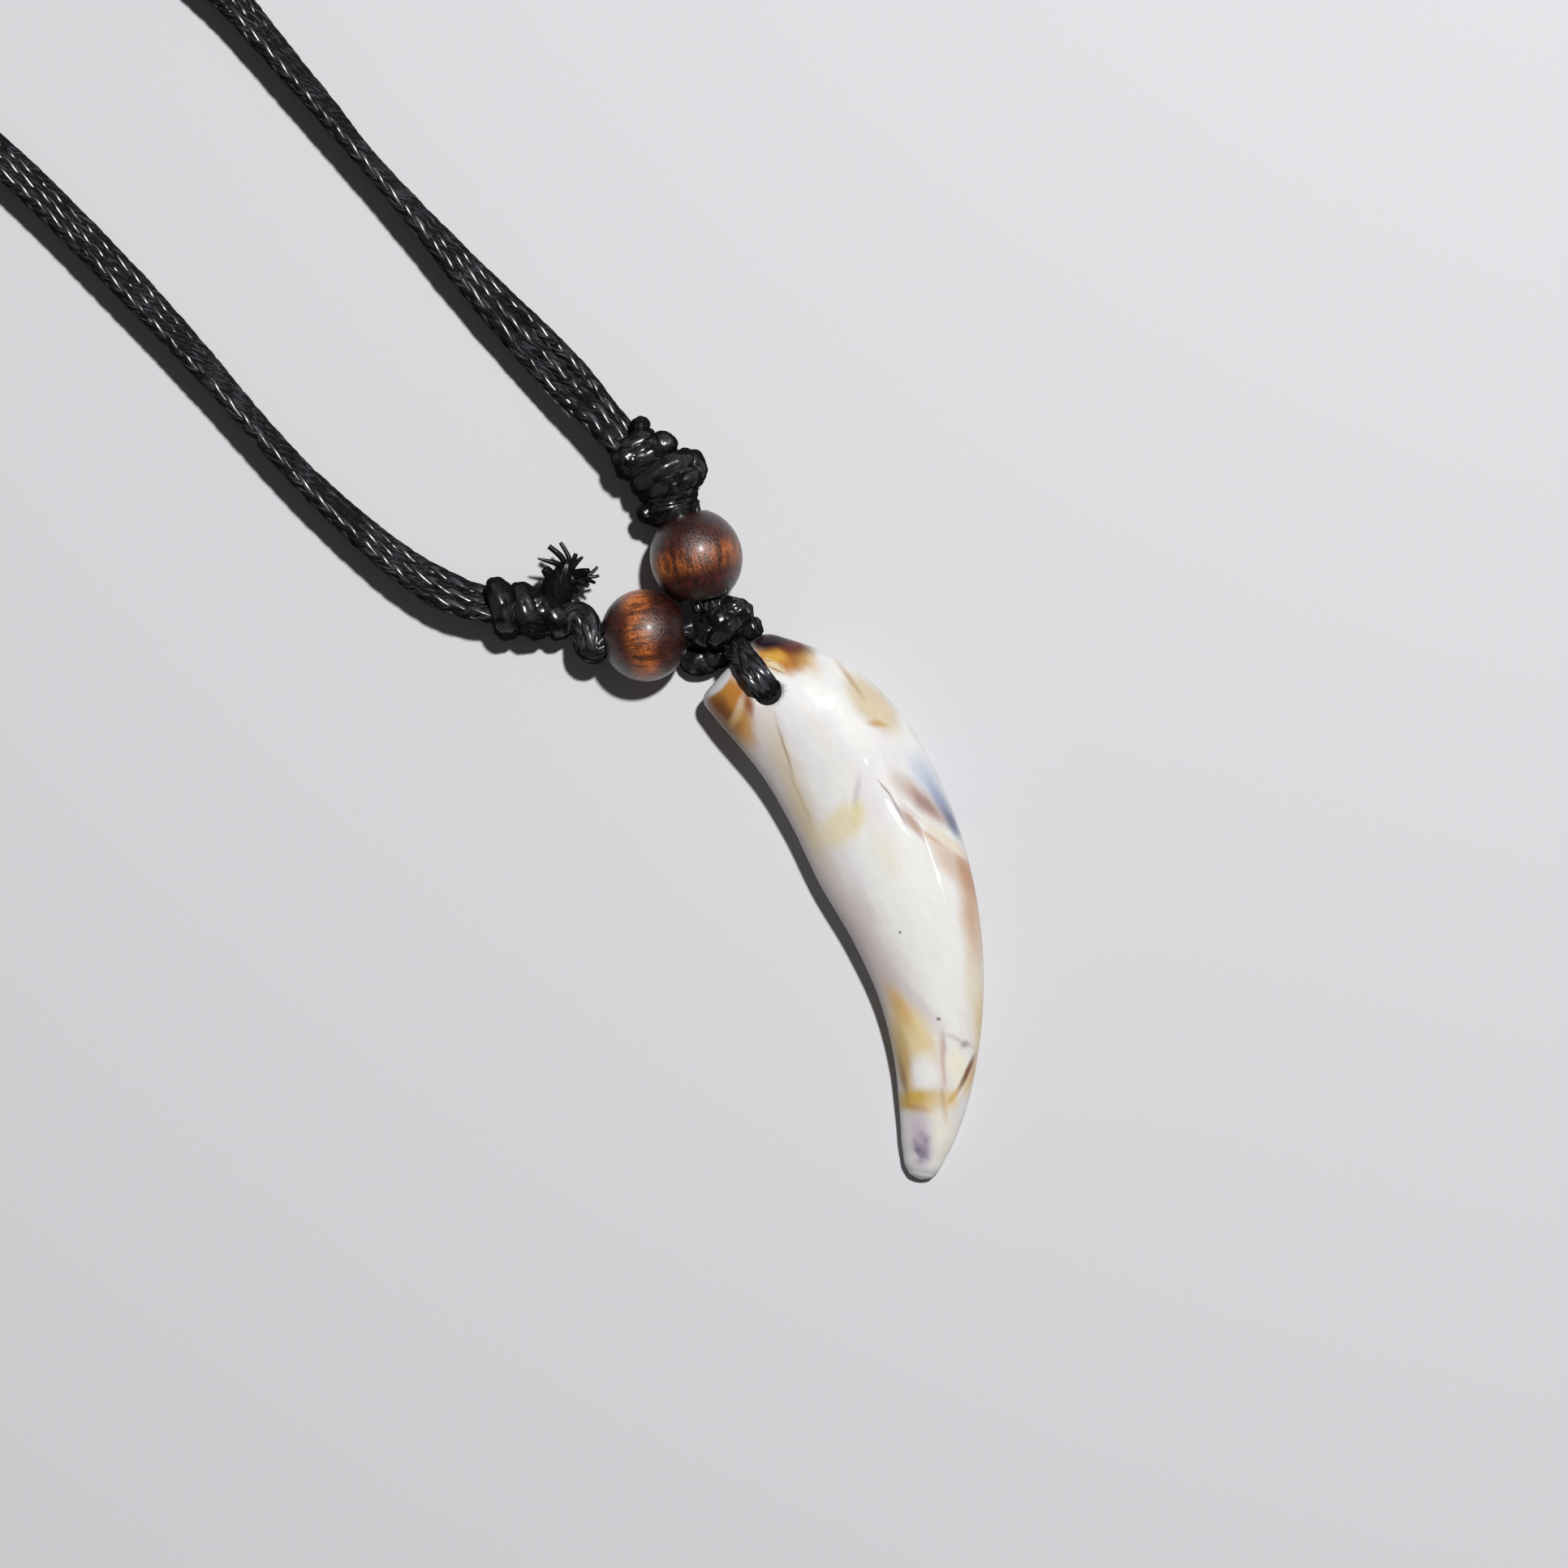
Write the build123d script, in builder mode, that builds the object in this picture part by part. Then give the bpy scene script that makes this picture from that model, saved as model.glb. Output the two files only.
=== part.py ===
from build123d import *
from math import asin, cos, degrees, pi, radians, sin, sqrt, tan
import os

# A tooth pendant on a neck cord of three waxed strands, lying on a flat surface, in millimetres.
# +Z points up from the surface, +Y up the page as the pendant is seen from above, and the origin
# is on the surface, under the middle of the tooth, beads and knots.

os.makedirs("parts", exist_ok=True)

# Tooth
tooth_chord = 47.1
tooth_width = 13.3
tooth_thickness = 6.2
tooth_crown_share = 0.58
tooth_angle = -70.3
root_round = 0.9
tip_round = 0.3
hole_radius = 1.25
hole_inset = 3.2
hole_side = 0.4

# Beads
bead_diameter = 8.0
upper_bead_length = 7.6
lower_bead_length = 6.9
bead_bore_radius = 1.58
bead_mouth_radius = 1.75
upper_bead_turn = 103.0
lower_bead_turn = 9.3

# Knots
centre_knot_radius = 3.2
right_knot_length = 9.3
right_knot_width = 6.7
right_knot_angle = 114.0
left_knot_length = 7.4
left_knot_width = 5.8
left_knot_angle = 169.0
right_wrap_share = 0.1716
left_wrap_share = 0.1983
tail_length = 3.6
tail_width = 2.7
tail_thickness = 1.9
tail_angle = 89.0
tail_rise = 12.0

# Cords
strand_diameter = 1.5
strand_gap = 0.1
thin_cord_diameter = 1.05
doubled_overlap_share = 0.04
floor_gap = 0.05
socket_gap = 0.08
ribbon_slack = 0.2
piece_gap = 0.12

# Clasp at the back of the neck, and where it lies, measured from the centre knot
clasp_length = 11.0
clasp_width = 6.2
clasp_height = 3.0
clasp_round = 1.2
clasp_angle = 95.0
clasp_x = -140.8
clasp_y = -17.4
clasp_socket = 2.0

# Where the centre knot lies, and how the beads and the tooth lie round it
centre_knot_x = -0.86
centre_knot_y = 14.65
lower_arm_angle = 181.7
lower_arm_slack = 0.3
bead_gap = 0.07
loop_angle = -54.2
root_clear = 0.95
left_knot_clear = 3.15
left_knot_direction = 168.2
right_knot_clear = 0.12


def turned(angle):
    return Vector(cos(radians(angle)), sin(radians(angle)), 0)


def raised(point, height):
    return Vector(point.X, point.Y, height)


upward = Vector(0, 0, 1)
bead_height = bead_diameter / 2
knot_centre = Vector(centre_knot_x, centre_knot_y, centre_knot_radius)

# Each bead is a bead's half and the knot's radius away from the centre knot, and they nearly touch
upper_reach = upper_bead_length / 2 + centre_knot_radius
lower_reach = lower_bead_length / 2 + centre_knot_radius + lower_arm_slack
arm_spread = 2 * degrees(asin((bead_diameter + bead_gap) / (upper_reach + lower_reach)))
upper_arm = turned(lower_arm_angle - arm_spread)
upper_bead_centre = raised(knot_centre + upper_arm * upper_reach, bead_height)
lower_bead_centre = raised(knot_centre + turned(lower_arm_angle) * lower_reach, bead_height)
upper_bead_axis = turned(upper_bead_turn)
lower_bead_axis = turned(lower_bead_turn)

# The right knot is pressed against the upper bead
right_knot_axis = turned(right_knot_angle)
right_reach = upper_bead_length / 2 + right_knot_length / 2 - right_knot_clear
right_knot_centre = raised(
    upper_bead_centre + right_knot_axis * right_reach, right_knot_width / 2
)

# The left knot stands off the lower bead by the arch of the bead's cord
left_knot_axis = turned(left_knot_angle)
left_reach = lower_bead_length / 2 + left_knot_length / 2 + left_knot_clear
left_knot_centre = raised(
    lower_bead_centre + turned(left_knot_direction) * left_reach, left_knot_width / 2
)

# The tooth hangs from its hole, which lies past the centre knot on the loop's line
loop_line = turned(loop_angle)
root_lift = floor_gap + thin_cord_diameter + 2 * piece_gap
hole_reach = root_clear * centre_knot_radius + hole_inset
hole_centre = raised(knot_centre + loop_line * hole_reach, 0)

# Tooth sections from the root to the tip. along and bow are shares of the chord, turn is the
# section's angle to it, width and thickness are shares of the tooth's own, and lift is a share of
# the height that the cord under the root needs.
tooth_columns = ("along", "bow", "turn", "width", "thickness", "lift")
tooth_rows = [
    (0.000, 0.0000, 26.7, 0.600, 0.66, 1.00),
    (0.050, 0.0430, 19.0, 0.798, 0.80, 1.00),
    (0.109, 0.0828, 12.0, 0.919, 0.90, 0.85),
    (0.180, 0.1130, 8.0, 0.974, 0.96, 0.50),
    (0.290, 0.1370, 5.0, 1.000, 1.00, 0.14),
    (0.416, 0.1470, 2.0, 0.979, 1.00, 0.03),
    (0.550, 0.1510, -3.0, 0.847, 0.94, 0.02),
    (0.679, 0.1370, -9.0, 0.690, 0.83, 0.02),
    (0.800, 0.1020, -17.0, 0.543, 0.69, 0.02),
    (0.900, 0.0570, -24.0, 0.409, 0.54, 0.04),
    (0.958, 0.0234, -28.0, 0.293, 0.41, 0.10),
    (0.986, 0.0070, -30.0, 0.176, 0.28, 0.16),
    (1.000, 0.0000, -30.0, 0.090, 0.15, 0.22),
]
root_turn = tooth_rows[0][2]
root_heading = turned(tooth_angle + root_turn)
root_left = turned(tooth_angle + root_turn + 90)
root_centre = hole_centre - root_heading * hole_inset - root_left * hole_side
hole_thickness = 0.82 * tooth_thickness
hole_top = root_lift + hole_thickness

with BuildPart() as tooth_pendant:
    for along, bow, turn, width, thickness, lift in tooth_rows:
        shift = turned(tooth_angle) * along + turned(tooth_angle + 90) * bow
        spot = root_centre + shift * tooth_chord
        crown = tooth_crown_share * thickness * tooth_thickness
        belly = (1 - tooth_crown_share) * thickness * tooth_thickness
        middle = raised(spot, lift * root_lift + belly)
        heading = turned(tooth_angle + turn)
        side = turned(tooth_angle + turn + 90)
        with BuildSketch(Plane(origin=middle, x_dir=side, z_dir=heading)):
            with BuildLine():
                EllipticalCenterArc((0, 0), width * tooth_width / 2, crown, 0, arc_size=180)
                EllipticalCenterArc((0, 0), width * tooth_width / 2, belly, 180, arc_size=180)
            make_face()
    loft()
    flat_faces = tooth_pendant.faces().filter_by(GeomType.PLANE).sort_by(Axis.Y)
    fillet(flat_faces[-1].edges(), root_round)
    fillet(flat_faces[0].edges(), tip_round)
    with Locations(raised(hole_centre, 2 * tooth_thickness)):
        Hole(hole_radius, 3 * tooth_thickness)
tooth_pendant.part.label = "tooth_pendant"


def drilled_bead(centre, axis, length):
    """A bead turned round its hole: an ellipse cut flat at both mouths."""
    stretch = length / 2 / sqrt(1 - (2 * bead_mouth_radius / bead_diameter) ** 2)
    mouth_angle = degrees(asin(2 * bead_mouth_radius / bead_diameter))
    with BuildPart() as bead:
        with BuildSketch(Plane(origin=centre, x_dir=axis, z_dir=axis.cross(upward))):
            with BuildLine():
                arch = EllipticalCenterArc(
                    (0, 0),
                    stretch,
                    bead_diameter / 2,
                    mouth_angle,
                    arc_size=180 - 2 * mouth_angle,
                )
                Line(arch @ 1, (-length / 2, bead_bore_radius))
                Line((-length / 2, bead_bore_radius), (length / 2, bead_bore_radius))
                Line((length / 2, bead_bore_radius), arch @ 0)
            make_face()
        revolve(axis=Axis(centre, axis))
    return bead


bead_upper = drilled_bead(upper_bead_centre, upper_bead_axis, upper_bead_length)
bead_upper.part.label = "bead_upper"
bead_lower = drilled_bead(lower_bead_centre, lower_bead_axis, lower_bead_length)
bead_lower.part.label = "bead_lower"


def corner_radii(points):
    """As large an arc at each corner of a cord's route as its two runs allow."""
    radii = []
    for before, point, after in zip(points, points[1:], points[2:]):
        shorter = min((point - before).length, (after - point).length)
        half_turn = radians((point - before).get_angle(after - point)) / 2
        radii.append(0.45 * shorter / tan(half_turn))
    return radii


def lengthened(points):
    """A cord's route with its ends moved on by the gap, for the hole that the cord lies in."""
    first = points[0] - (points[1] - points[0]).normalized() * piece_gap
    last = points[-1] + (points[-1] - points[-2]).normalized() * piece_gap
    return [first, *points[1:-1], last]


def round_cord(points, radii, radius):
    """A round cord along straight runs joined by arcs."""
    with BuildPart() as cord:
        with BuildLine() as route:
            FilletPolyline(*points, radius=radii)
        with BuildSketch(Plane(origin=route.line @ 0, z_dir=route.line % 0)):
            Circle(radius)
        sweep(path=route.line)
    return cord


def doubled_cord(points, radii, radius, grown, side):
    """Two cords side by side, just grown together where they touch."""
    spread = radius * (1 - doubled_overlap_share)
    with BuildPart() as cord:
        with BuildLine() as route:
            if radii:
                FilletPolyline(*points, radius=radii)
            else:
                Line(*points)
        with BuildSketch(Plane(origin=route.line @ 0, x_dir=side, z_dir=route.line % 0)):
            with Locations((-spread, 0), (spread, 0)):
                Circle(radius + grown)
        sweep(path=route.line)
    return cord


# The bead cords. The upper one runs straight, and the lower one bends out of the left knot.
strand_radius = strand_diameter / 2
strand_pitch = strand_diameter + strand_gap
cord_end = 0.8
upper_cord_points = [
    upper_bead_centre + upper_bead_axis * (upper_bead_length / 2 + cord_end),
    upper_bead_centre - upper_bead_axis * (upper_bead_length / 2 + cord_end),
]
bend_radius = 1.62
bend_low = lower_bead_centre - lower_bead_axis * (lower_bead_length / 2 + 0.85)
bend_high = bend_low + Vector(-1.3, 2.05, -0.6)
bend_start = raised(bend_high + Vector(-2.1, -0.1, 0), left_knot_centre.Z + 0.2)
lower_cord_points = [
    bend_start,
    bend_high,
    bend_low,
    lower_bead_centre + lower_bead_axis * (lower_bead_length / 2 + cord_end),
]
lower_cord_radii = [bend_radius, bend_radius]
upper_cord_side = upward.cross(upper_bead_axis)
lower_cord_side = Vector(0, 1, 0)
bead_cord_upper = doubled_cord(upper_cord_points, None, strand_radius, 0, upper_cord_side)
bead_cord_upper.part.label = "bead_cord_upper"
bead_cord_lower = doubled_cord(
    lower_cord_points, lower_cord_radii, strand_radius, 0, lower_cord_side
)
bead_cord_lower.part.label = "bead_cord_lower"

# The hanging loop, seen from its side: how far each corner is from the centre knot's middle along
# the loop's line, and how high.
thin_radius = thin_cord_diameter / 2
loop_top = hole_top + piece_gap + thin_radius
loop_bottom = floor_gap + thin_radius
loop_drop = hole_reach - 0.1
loop_start = 0.45 * centre_knot_radius
loop_corners = [
    (loop_start, 1.35 * centre_knot_radius),
    (hole_reach - hole_inset + 0.4, loop_top),
    (loop_drop, loop_top),
    (loop_drop, loop_bottom),
    (hole_reach - hole_inset + 0.6, loop_bottom),
    (loop_start, 0.8 * centre_knot_radius),
]
loop_points = [raised(knot_centre + loop_line * reach, high) for reach, high in loop_corners]
loop_radii = [1.5, 1.0, 1.0, 1.5]
loop_side = turned(loop_angle + 90)
hanging_loop = doubled_cord(loop_points, loop_radii, thin_radius, 0, loop_side)
hanging_loop.part.label = "hanging_loop"

# The neck cord. Each row is a place on the middle of the ribbon of three strands, measured from the
# centre knot, the roll of that ribbon about its line, in degrees, and how far its lowest strand
# rises off the surface.
ribbon_columns = ("x", "y", "roll", "rise")
left_start = left_knot_centre + left_knot_axis * (0.27 * left_knot_length)
left_ribbon = [
    (left_start.X - centre_knot_x, left_start.Y - centre_knot_y, 57, 0.76),
    (-21.80, 2.60, 57, 0.74),
    (-24.80, 3.85, 51, 0.62),
    (-28.60, 6.35, 63, 0.30),
    (-33.25, 10.27, 72, 0.05),
    (-37.80, 14.70, 78, 0.00),
    (-41.90, 19.40, 79, 0.00),
    (-46.00, 24.10, 71, 0.00),
    (-50.40, 28.85, 64, 0.00),
    (-55.60, 34.34, 62, 0.00),
    (-61.80, 40.45, 61, 0.00),
    (-68.10, 45.60, 48, 0.00),
    (-74.40, 47.50, 34, 0.00),
    (-80.50, 45.00, 22, 0.00),
    (-83.80, 38.80, 12, 0.00),
    (-84.40, 30.20, 6, 0.00),
    (-82.60, 18.40, 3, 0.00),
    (-79.00, 4.60, 0, 0.00),
    (-77.00, -10.20, 0, 0.00),
    (-79.00, -24.00, 0, 0.00),
    (-85.40, -35.40, 0, 0.00),
    (-96.40, -42.40, 0, 0.00),
    (-109.60, -44.20, 0, 0.00),
    (-121.80, -41.00, 0, 0.00),
    (-131.60, -35.00, 0, 0.30),
]
right_start = right_knot_centre + right_knot_axis * (0.23 * right_knot_length)
right_start += upward.cross(right_knot_axis) * (0.19 * right_knot_width)
right_ribbon = [
    (right_start.X - centre_knot_x, right_start.Y - centre_knot_y, 56, 1.20),
    (-10.60, 18.65, 56, 1.14),
    (-13.10, 21.40, 33, 1.10),
    (-16.00, 24.45, 34, 0.80),
    (-19.76, 28.43, 50, 0.40),
    (-23.80, 32.80, 66, 0.10),
    (-27.60, 37.20, 79, 0.00),
    (-31.60, 41.58, 83, 0.00),
    (-35.10, 45.95, 76, 0.00),
    (-38.90, 50.35, 71, 0.00),
    (-42.50, 54.70, 62, 0.00),
    (-46.90, 59.00, 50, 0.00),
    (-53.60, 61.80, 40, 0.00),
    (-63.40, 62.60, 26, 0.00),
    (-77.60, 62.20, 12, 0.00),
    (-93.20, 61.00, 4, 0.00),
    (-108.40, 57.60, 0, 0.00),
    (-121.80, 50.60, 0, 0.00),
    (-132.20, 39.80, 0, 0.00),
    (-139.00, 26.20, 0, 0.00),
    (-142.00, 11.60, 0, 0.00),
    (-142.40, 0.20, 0, 0.25),
]
clasp_axis = turned(clasp_angle)
clasp_centre = raised(knot_centre + Vector(clasp_x, clasp_y, 0), clasp_height / 2)
clasp_rise = clasp_height / 2 - strand_diameter / 2 - floor_gap
clasp_run = 4.0
for ribbon, way in ((left_ribbon, -1), (right_ribbon, 1)):
    for reach in (clasp_length / 2 + clasp_run, clasp_length / 2 - clasp_socket):
        spot = clasp_centre + clasp_axis * (way * reach)
        ribbon.append((spot.X - centre_knot_x, spot.Y - centre_knot_y, 0, clasp_rise))


def strand_route(ribbon, place):
    """The route of one strand: place is -1, 0 or 1, from the ribbon's right edge to its left."""
    middles = [raised(knot_centre + Vector(x, y, 0), 0) for x, y, roll, rise in ribbon]
    points = []
    for index, (x, y, roll, rise) in enumerate(ribbon):
        before = middles[max(index - 1, 0)]
        after = middles[min(index + 1, len(middles) - 1)]
        inward = (middles[index] - before).normalized() if index else None
        outward = (after - middles[index]).normalized() if index < len(middles) - 1 else None
        heading = ((inward or outward) + (outward or inward)).normalized()
        left = upward.cross(heading)
        spread = strand_pitch * cos(radians(roll)) / heading.dot(outward or inward)
        height = strand_radius + floor_gap + rise
        height += strand_pitch * sin(radians(roll)) * (1 + place)
        points.append(middles[index] + left * (place * spread) + upward * height)
    return points


strands = {}
strand_routes = {}
for side_name, ribbon in (("left", left_ribbon), ("right", right_ribbon)):
    for number, place in enumerate((-1, 0, 1), start=1):
        name = f"neck_strand_{side_name}_{number}"
        points = strand_route(ribbon, place)
        radii = corner_radii(points)
        strand = round_cord(points, radii, strand_radius)
        strand.part.label = name
        strands[name] = strand
        strand_routes[name] = (points, radii)

# The clasp is a plain flat barrel with a blind hole for each strand's end
with BuildPart() as back_clasp:
    clasp_end = clasp_centre - clasp_axis * (clasp_length / 2)
    across = upward.cross(clasp_axis)
    with BuildSketch(Plane(origin=clasp_end, x_dir=across, z_dir=clasp_axis)):
        RectangleRounded(clasp_width, clasp_height, clasp_round)
    extrude(amount=clasp_length)
    fillet(back_clasp.faces().filter_by(GeomType.PLANE).sort_by(Axis.Y)[0].edges(), 0.4)
    fillet(back_clasp.faces().filter_by(GeomType.PLANE).sort_by(Axis.Y)[-1].edges(), 0.4)
    for way in (-1, 1):
        mouth = clasp_centre + clasp_axis * (way * clasp_length / 2)
        with BuildSketch(Plane(origin=mouth, x_dir=across, z_dir=clasp_axis * -way)):
            with Locations((-strand_pitch, 0), (0, 0), (strand_pitch, 0)):
                Circle(strand_radius + socket_gap)
        extrude(amount=clasp_socket + piece_gap, mode=Mode.SUBTRACT)
back_clasp.part.label = "back_clasp"


def bead_room(centre, axis, length):
    """The room that a bead needs in the knots beside it: the bead's shape, grown by the gap."""
    grown_length = length + 2 * piece_gap
    grown_radius = bead_diameter / 2 + piece_gap
    stretch = grown_length / 2 / sqrt(1 - (bead_mouth_radius / grown_radius) ** 2)
    mouth_angle = degrees(asin(bead_mouth_radius / grown_radius))
    with BuildPart() as room:
        with BuildSketch(Plane(origin=centre, x_dir=axis, z_dir=axis.cross(upward))):
            with BuildLine():
                arch = EllipticalCenterArc(
                    (0, 0),
                    stretch,
                    grown_radius,
                    mouth_angle,
                    arc_size=180 - 2 * mouth_angle,
                )
                Line(arch @ 1, (-grown_length / 2, 0))
                Line((-grown_length / 2, 0), (grown_length / 2, 0))
                Line((grown_length / 2, 0), arch @ 0)
            make_face()
        revolve(axis=Axis(centre, axis))
    return room


def knot_core(centre, axis, length, width, wrap_share):
    core_length = 0.86 * length
    with BuildPart() as core:
        with BuildSketch(Plane(origin=centre - axis * (core_length / 2), z_dir=axis)):
            Circle(width / 2 - 1.35 * wrap_share * width)
        extrude(amount=core_length)
        fillet(core.edges().filter_by(GeomType.CIRCLE), 0.125 * width)
    return core.part


def knot_turn(centre, axis, length, width, wrap_share, ring):
    """One turn of cord round a knot, as a ring."""
    along, side, reach, lean = ring
    wrap_radius = wrap_share * width
    middle = centre + axis * (along * length) + upward.cross(axis) * (side * width)
    ring_axis = axis.rotate(Axis((0, 0, 0), (0, 0, 1)), lean)
    with BuildPart() as turn:
        with BuildSketch(Plane(origin=middle, x_dir=upward, z_dir=ring_axis.cross(upward))):
            with Locations((reach * width / 2 - wrap_radius, 0)):
                Circle(wrap_radius)
        revolve(axis=Axis(middle, ring_axis))
    return turn.part


def wrapped_knot(centre, axis, length, width, wrap_share, rings, rooms):
    """Turns of cord round a core, cut clear of the cords that end in it and of the bead."""
    shape = (centre, axis, length, width, wrap_share)
    with BuildPart() as wound:
        add([knot_core(*shape), *[knot_turn(*shape, ring) for ring in rings]])
    with BuildPart() as knot:
        add(wound.part)
        add([room.part for room in rooms], mode=Mode.SUBTRACT)
    return knot


def ribbon_socket(ribbon):
    """One flat hole for the ends of a ribbon's three strands."""
    low, middle, high = (strand_route(ribbon, place)[0] for place in (-1, 0, 1))
    outside = strand_route(ribbon, 0)[1]
    bottom = middle - (outside - middle).normalized() * piece_gap
    with BuildPart() as hole:
        with BuildSketch(Plane(origin=bottom, x_dir=high - low, z_dir=outside - middle)):
            SlotCenterToCenter((high - low).length, strand_diameter + 2 * ribbon_slack)
        extrude(amount=(outside - bottom).length)
    return hole


def tail_body(grown):
    """The tail's gathered part, from inside the left knot to where its fibres spread."""
    with BuildPart() as body:
        for along, wide, thick in tail_rows:
            spot = tail_start + tail_heading * (along * tail_length)
            with BuildSketch(Plane(origin=spot, x_dir=tail_left, z_dir=tail_heading)):
                Ellipse(wide * tail_width / 2 + grown, thick * tail_thickness / 2 + grown)
        loft()
    return body


# Turns of the two wrapped knots: where each lies along the knot and to its left side, how wide it
# reaches, and how far it leans, in degrees
ring_columns = ("along", "side", "reach", "lean")
right_rings = [
    (-0.418, 0.047, 0.733, -10.7),
    (-0.286, -0.006, 0.733, -8.7),
    (-0.184, -0.100, 0.970, -5.0),
    (-0.049, -0.073, 1.000, 0.0),
    (0.150, 0.071, 0.907, 9.0),
    (0.297, 0.155, 0.690, 10.0),
]
left_rings = [
    (-0.27, 0.00, 0.82, 22),
    (0.01, 0.00, 0.97, 25),
    (0.29, 0.03, 1.00, 25),
]
# The tail starts inside the left knot, as shares of the knot's length and width from its middle
tail_root_along = -0.38
tail_root_side = -0.225
# The tail's gathered part: shares of its length, width and thickness
tail_columns = ("along", "width", "thickness")
tail_rows = [
    (0.00, 0.86, 1.00),
    (0.45, 0.92, 1.00),
    (0.84, 1.04, 0.90),
    (1.04, 0.60, 0.60),
]
flat_heading = turned(tail_angle)
tail_heading = flat_heading * cos(radians(tail_rise)) + upward * sin(radians(tail_rise))
tail_left = upward.cross(flat_heading)
tail_start = left_knot_centre + left_knot_axis * (tail_root_along * left_knot_length)
tail_start += upward.cross(left_knot_axis) * (tail_root_side * left_knot_width)

upper_socket = doubled_cord(
    lengthened(upper_cord_points), None, strand_radius, socket_gap, upper_cord_side
)
lower_socket = doubled_cord(
    lengthened(lower_cord_points),
    lower_cord_radii,
    strand_radius,
    socket_gap,
    lower_cord_side,
)
upper_room = bead_room(upper_bead_centre, upper_bead_axis, upper_bead_length)
lower_room = bead_room(lower_bead_centre, lower_bead_axis, lower_bead_length)
right_knot = wrapped_knot(
    right_knot_centre,
    right_knot_axis,
    right_knot_length,
    right_knot_width,
    right_wrap_share,
    right_rings,
    [upper_socket, upper_room, ribbon_socket(right_ribbon)],
)
right_knot.part.label = "right_knot"
left_knot = wrapped_knot(
    left_knot_centre,
    left_knot_axis,
    left_knot_length,
    left_knot_width,
    left_wrap_share,
    left_rings,
    [lower_socket, tail_body(socket_gap), ribbon_socket(left_ribbon)],
)
left_knot.part.label = "left_knot"

# Lumps of the centre knot, as shares of its radius, from its middle. They are turned so that their
# poles and seams lie away from the cuts.
lump_turn = (30, 40, 50)
lump_columns = ("x", "y", "z", "radius")
centre_lumps = [
    (0.04, 0.05, 0.05, 0.60),
    (-0.50, 0.00, 0.00, 0.49),
    (0.18, 0.68, 0.10, 0.45),
    (0.58, 0.19, 0.03, 0.44),
    (-0.34, 0.42, 0.25, 0.38),
    (-0.72, -0.77, -0.56, 0.41),
    (-0.23, -0.66, -0.45, 0.41),
]


def loop_socket(start, end, sideways):
    """Room for one of the loop's two cords where it ends inside the centre knot."""
    bottom = start - (end - start).normalized() * piece_gap + sideways
    with BuildPart() as tube:
        with BuildSketch(Plane(origin=bottom, z_dir=end - start)):
            Circle(thin_radius + socket_gap)
        extrude(amount=(end - start).length)
    return tube


knot_rooms = [upper_room, lower_room, upper_socket, lower_socket]
for start, end in ((loop_points[0], loop_points[1]), (loop_points[-1], loop_points[-2])):
    for way in (-1, 1):
        sideways = loop_side * (way * thin_radius * (1 - doubled_overlap_share))
        knot_rooms.append(loop_socket(start, end, sideways))
with BuildPart() as knot_lumps:
    for x, y, z, share in centre_lumps:
        with Locations(knot_centre + Vector(x, y, z) * centre_knot_radius):
            Sphere(share * centre_knot_radius, rotation=lump_turn)
with BuildPart() as centre_knot:
    add(knot_lumps.part)
    add([room.part for room in knot_rooms], mode=Mode.SUBTRACT)
centre_knot.part.label = "centre_knot"

# Locks of the frayed end: where each starts, along the tail and to its left, and where it ends,
# as shares of the tail's length and width, and how thick it is, as a share of the width
lock_columns = ("along", "side", "tip_along", "tip_side", "thickness")
tail_locks = [
    (0.98, 0.20, 1.12, 0.74, 0.13),
    (1.00, 0.08, 1.40, 0.40, 0.15),
    (1.02, -0.05, 1.48, 0.05, 0.13),
    (1.00, -0.15, 1.23, -0.50, 0.13),
    (0.97, -0.20, 1.16, -0.70, 0.13),
    (0.76, -0.30, 0.77, -1.05, 0.32),
    (0.80, -0.62, 0.88, -0.80, 0.18),
    (0.79, -0.85, 0.89, -1.18, 0.12),
    (0.76, -0.90, 0.66, -1.22, 0.12),
    (0.79, 0.20, 0.78, 0.60, 0.34),
]
with BuildPart() as frayed_tail:
    add(tail_body(0).part)
    for along, side, tip_along, tip_side, thickness in tail_locks:
        spot = tail_start + tail_heading * (along * tail_length) + tail_left * (side * tail_width)
        tip = tail_start + tail_heading * (tip_along * tail_length)
        tip += tail_left * (tip_side * tail_width)
        with BuildSketch(Plane(origin=spot, z_dir=tip - spot)):
            Circle(thickness * tail_width / 2)
        extrude(amount=(tip - spot).length, taper=3)
frayed_tail.part.label = "frayed_tail"

# Write the pieces
export_step(tooth_pendant.part, "parts/tooth_pendant.step")
export_step(hanging_loop.part, "parts/hanging_loop.step")
export_step(centre_knot.part, "parts/centre_knot.step")
export_step(bead_upper.part, "parts/bead_upper.step")
export_step(bead_lower.part, "parts/bead_lower.step")
export_step(bead_cord_upper.part, "parts/bead_cord_upper.step")
export_step(bead_cord_lower.part, "parts/bead_cord_lower.step")
export_step(right_knot.part, "parts/right_knot.step")
export_step(left_knot.part, "parts/left_knot.step")
export_step(frayed_tail.part, "parts/frayed_tail.step")
export_step(back_clasp.part, "parts/back_clasp.step")
for name, strand in strands.items():
    export_step(strand.part, f"parts/{name}.step")

for name, (points, radii) in strand_routes.items():
    length = strands[name].part.volume / (pi * strand_radius**2)
    print(name, "length", round(length, 1), "radii", [round(radius, 1) for radius in radii])
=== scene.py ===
from math import cos, pi, radians, sin

import bpy
import numpy as np
from mathutils import Matrix, Vector, noise


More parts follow.
